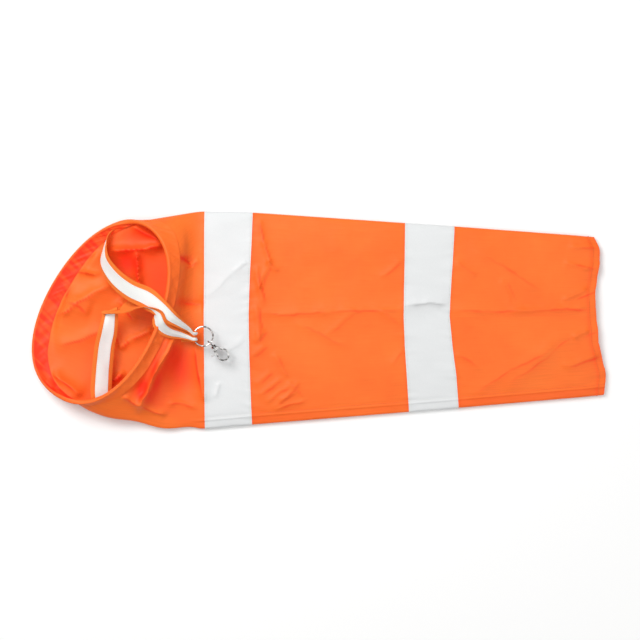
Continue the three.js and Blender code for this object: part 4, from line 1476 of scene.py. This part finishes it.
class WINDSOCK_OT_stage(bpy.types.Operator):
    """The floor, the soft lights and the camera"""

    bl_idname = "windsock.stage"
    bl_label = "Stage"

    def execute(self, context):
        settings = context.scene.windsock_stage
        deselect_all()
        bpy.ops.mesh.primitive_plane_add(size=9, location=(0, 0, FLOOR_HEIGHT))
        floor = context.object
        floor.name = "floor"
        material, tree, shader = new_material("pale_floor")
        shader.inputs["Base Color"].default_value = (0.97, 0.97, 0.965, 1)
        shader.inputs["Roughness"].default_value = 0.85
        floor.data.materials.append(material)
        world = bpy.data.worlds.new("soft_sky")
        world.use_nodes = True
        tree = world.node_tree
        place = tree.nodes.new("ShaderNodeTexCoord")
        height = add_node(tree, "ShaderNodeSeparateXYZ", Vector=place.outputs["Generated"])
        glow = ramp(tree, height.outputs["Z"], ((0.5, (0.03,) * 3), (0.85, (1.0,) * 3)))
        seen = tree.nodes.new("ShaderNodeLightPath")
        glow = mix_colour(tree, seen.outputs["Is Camera Ray"], glow, (1.0, 1.0, 1.0))
        tree.links.new(glow, tree.nodes["Background"].inputs[0])
        tree.nodes["Background"].inputs[1].default_value = settings.sky
        context.scene.world = world
        for name, place, size, power in (
            ("key", (-1.0, 1.1, 1.7), 1.3, settings.key_power),
            ("fill", (1.5, -0.9, 1.7), 1.8, settings.key_power * FILL_SHARE),
        ):
            deselect_all()
            bpy.ops.object.light_add(type="AREA", location=place)
            light = context.object
            light.name = name + "_light"
            light.data.size = size
            light.data.energy = power
            light.rotation_euler = (-Vector(place)).to_track_quat("-Z", "Y").to_euler()
        deselect_all()
        bpy.ops.object.camera_add(location=(0, CAMERA_Y, settings.camera_height))
        camera = context.object
        camera.rotation_euler = (0, 0, 0)
        camera.data.sensor_width = SENSOR
        camera.data.lens = SENSOR * settings.camera_height / settings.view_width
        camera.data.clip_end = 60
        context.scene.camera = camera
        context.scene.view_settings.view_transform = "Standard"
        return {"FINISHED"}


PROPERTY_GROUPS = (
    ("windsock_tube", TubeSettings),
    ("windsock_bridle", BridleSettings),
    ("windsock_metal", MetalSettings),
    ("windsock_stage", StageSettings),
)
OPERATORS = (
    WINDSOCK_OT_stage,
    WINDSOCK_OT_tube,
    WINDSOCK_OT_casing,
    WINDSOCK_OT_straps,
    WINDSOCK_OT_split_ring,
    WINDSOCK_OT_clasp,
    WINDSOCK_OT_stitching,
)


class WINDSOCK_PT_sidebar(bpy.types.Panel):
    """Sizes, colours and the steps of the build"""

    bl_idname = "WINDSOCK_PT_sidebar"
    bl_label = "Windsock"
    bl_space_type = "VIEW_3D"
    bl_region_type = "UI"
    bl_category = "Windsock"

    def draw(self, context):
        layout = self.layout
        for attribute, kind in PROPERTY_GROUPS:
            box = layout.box()
            settings = getattr(context.scene, attribute)
            for field in kind.__annotations__:
                box.prop(settings, field)
        for operator in OPERATORS:
            layout.operator(operator.bl_idname)


def register():
    for attribute, kind in PROPERTY_GROUPS:
        bpy.utils.register_class(kind)
        setattr(bpy.types.Scene, attribute, bpy.props.PointerProperty(type=kind))
    for operator in OPERATORS:
        bpy.utils.register_class(operator)
    bpy.utils.register_class(WINDSOCK_PT_sidebar)


def unregister():
    bpy.utils.unregister_class(WINDSOCK_PT_sidebar)
    for operator in reversed(OPERATORS):
        bpy.utils.unregister_class(operator)
    for attribute, kind in reversed(PROPERTY_GROUPS):
        delattr(bpy.types.Scene, attribute)
        bpy.utils.unregister_class(kind)


def main():
    register()
    for operator in OPERATORS:
        group, call = operator.bl_idname.split(".")
        getattr(getattr(bpy.ops, group), call)()


if __name__ == "__main__":
    main()
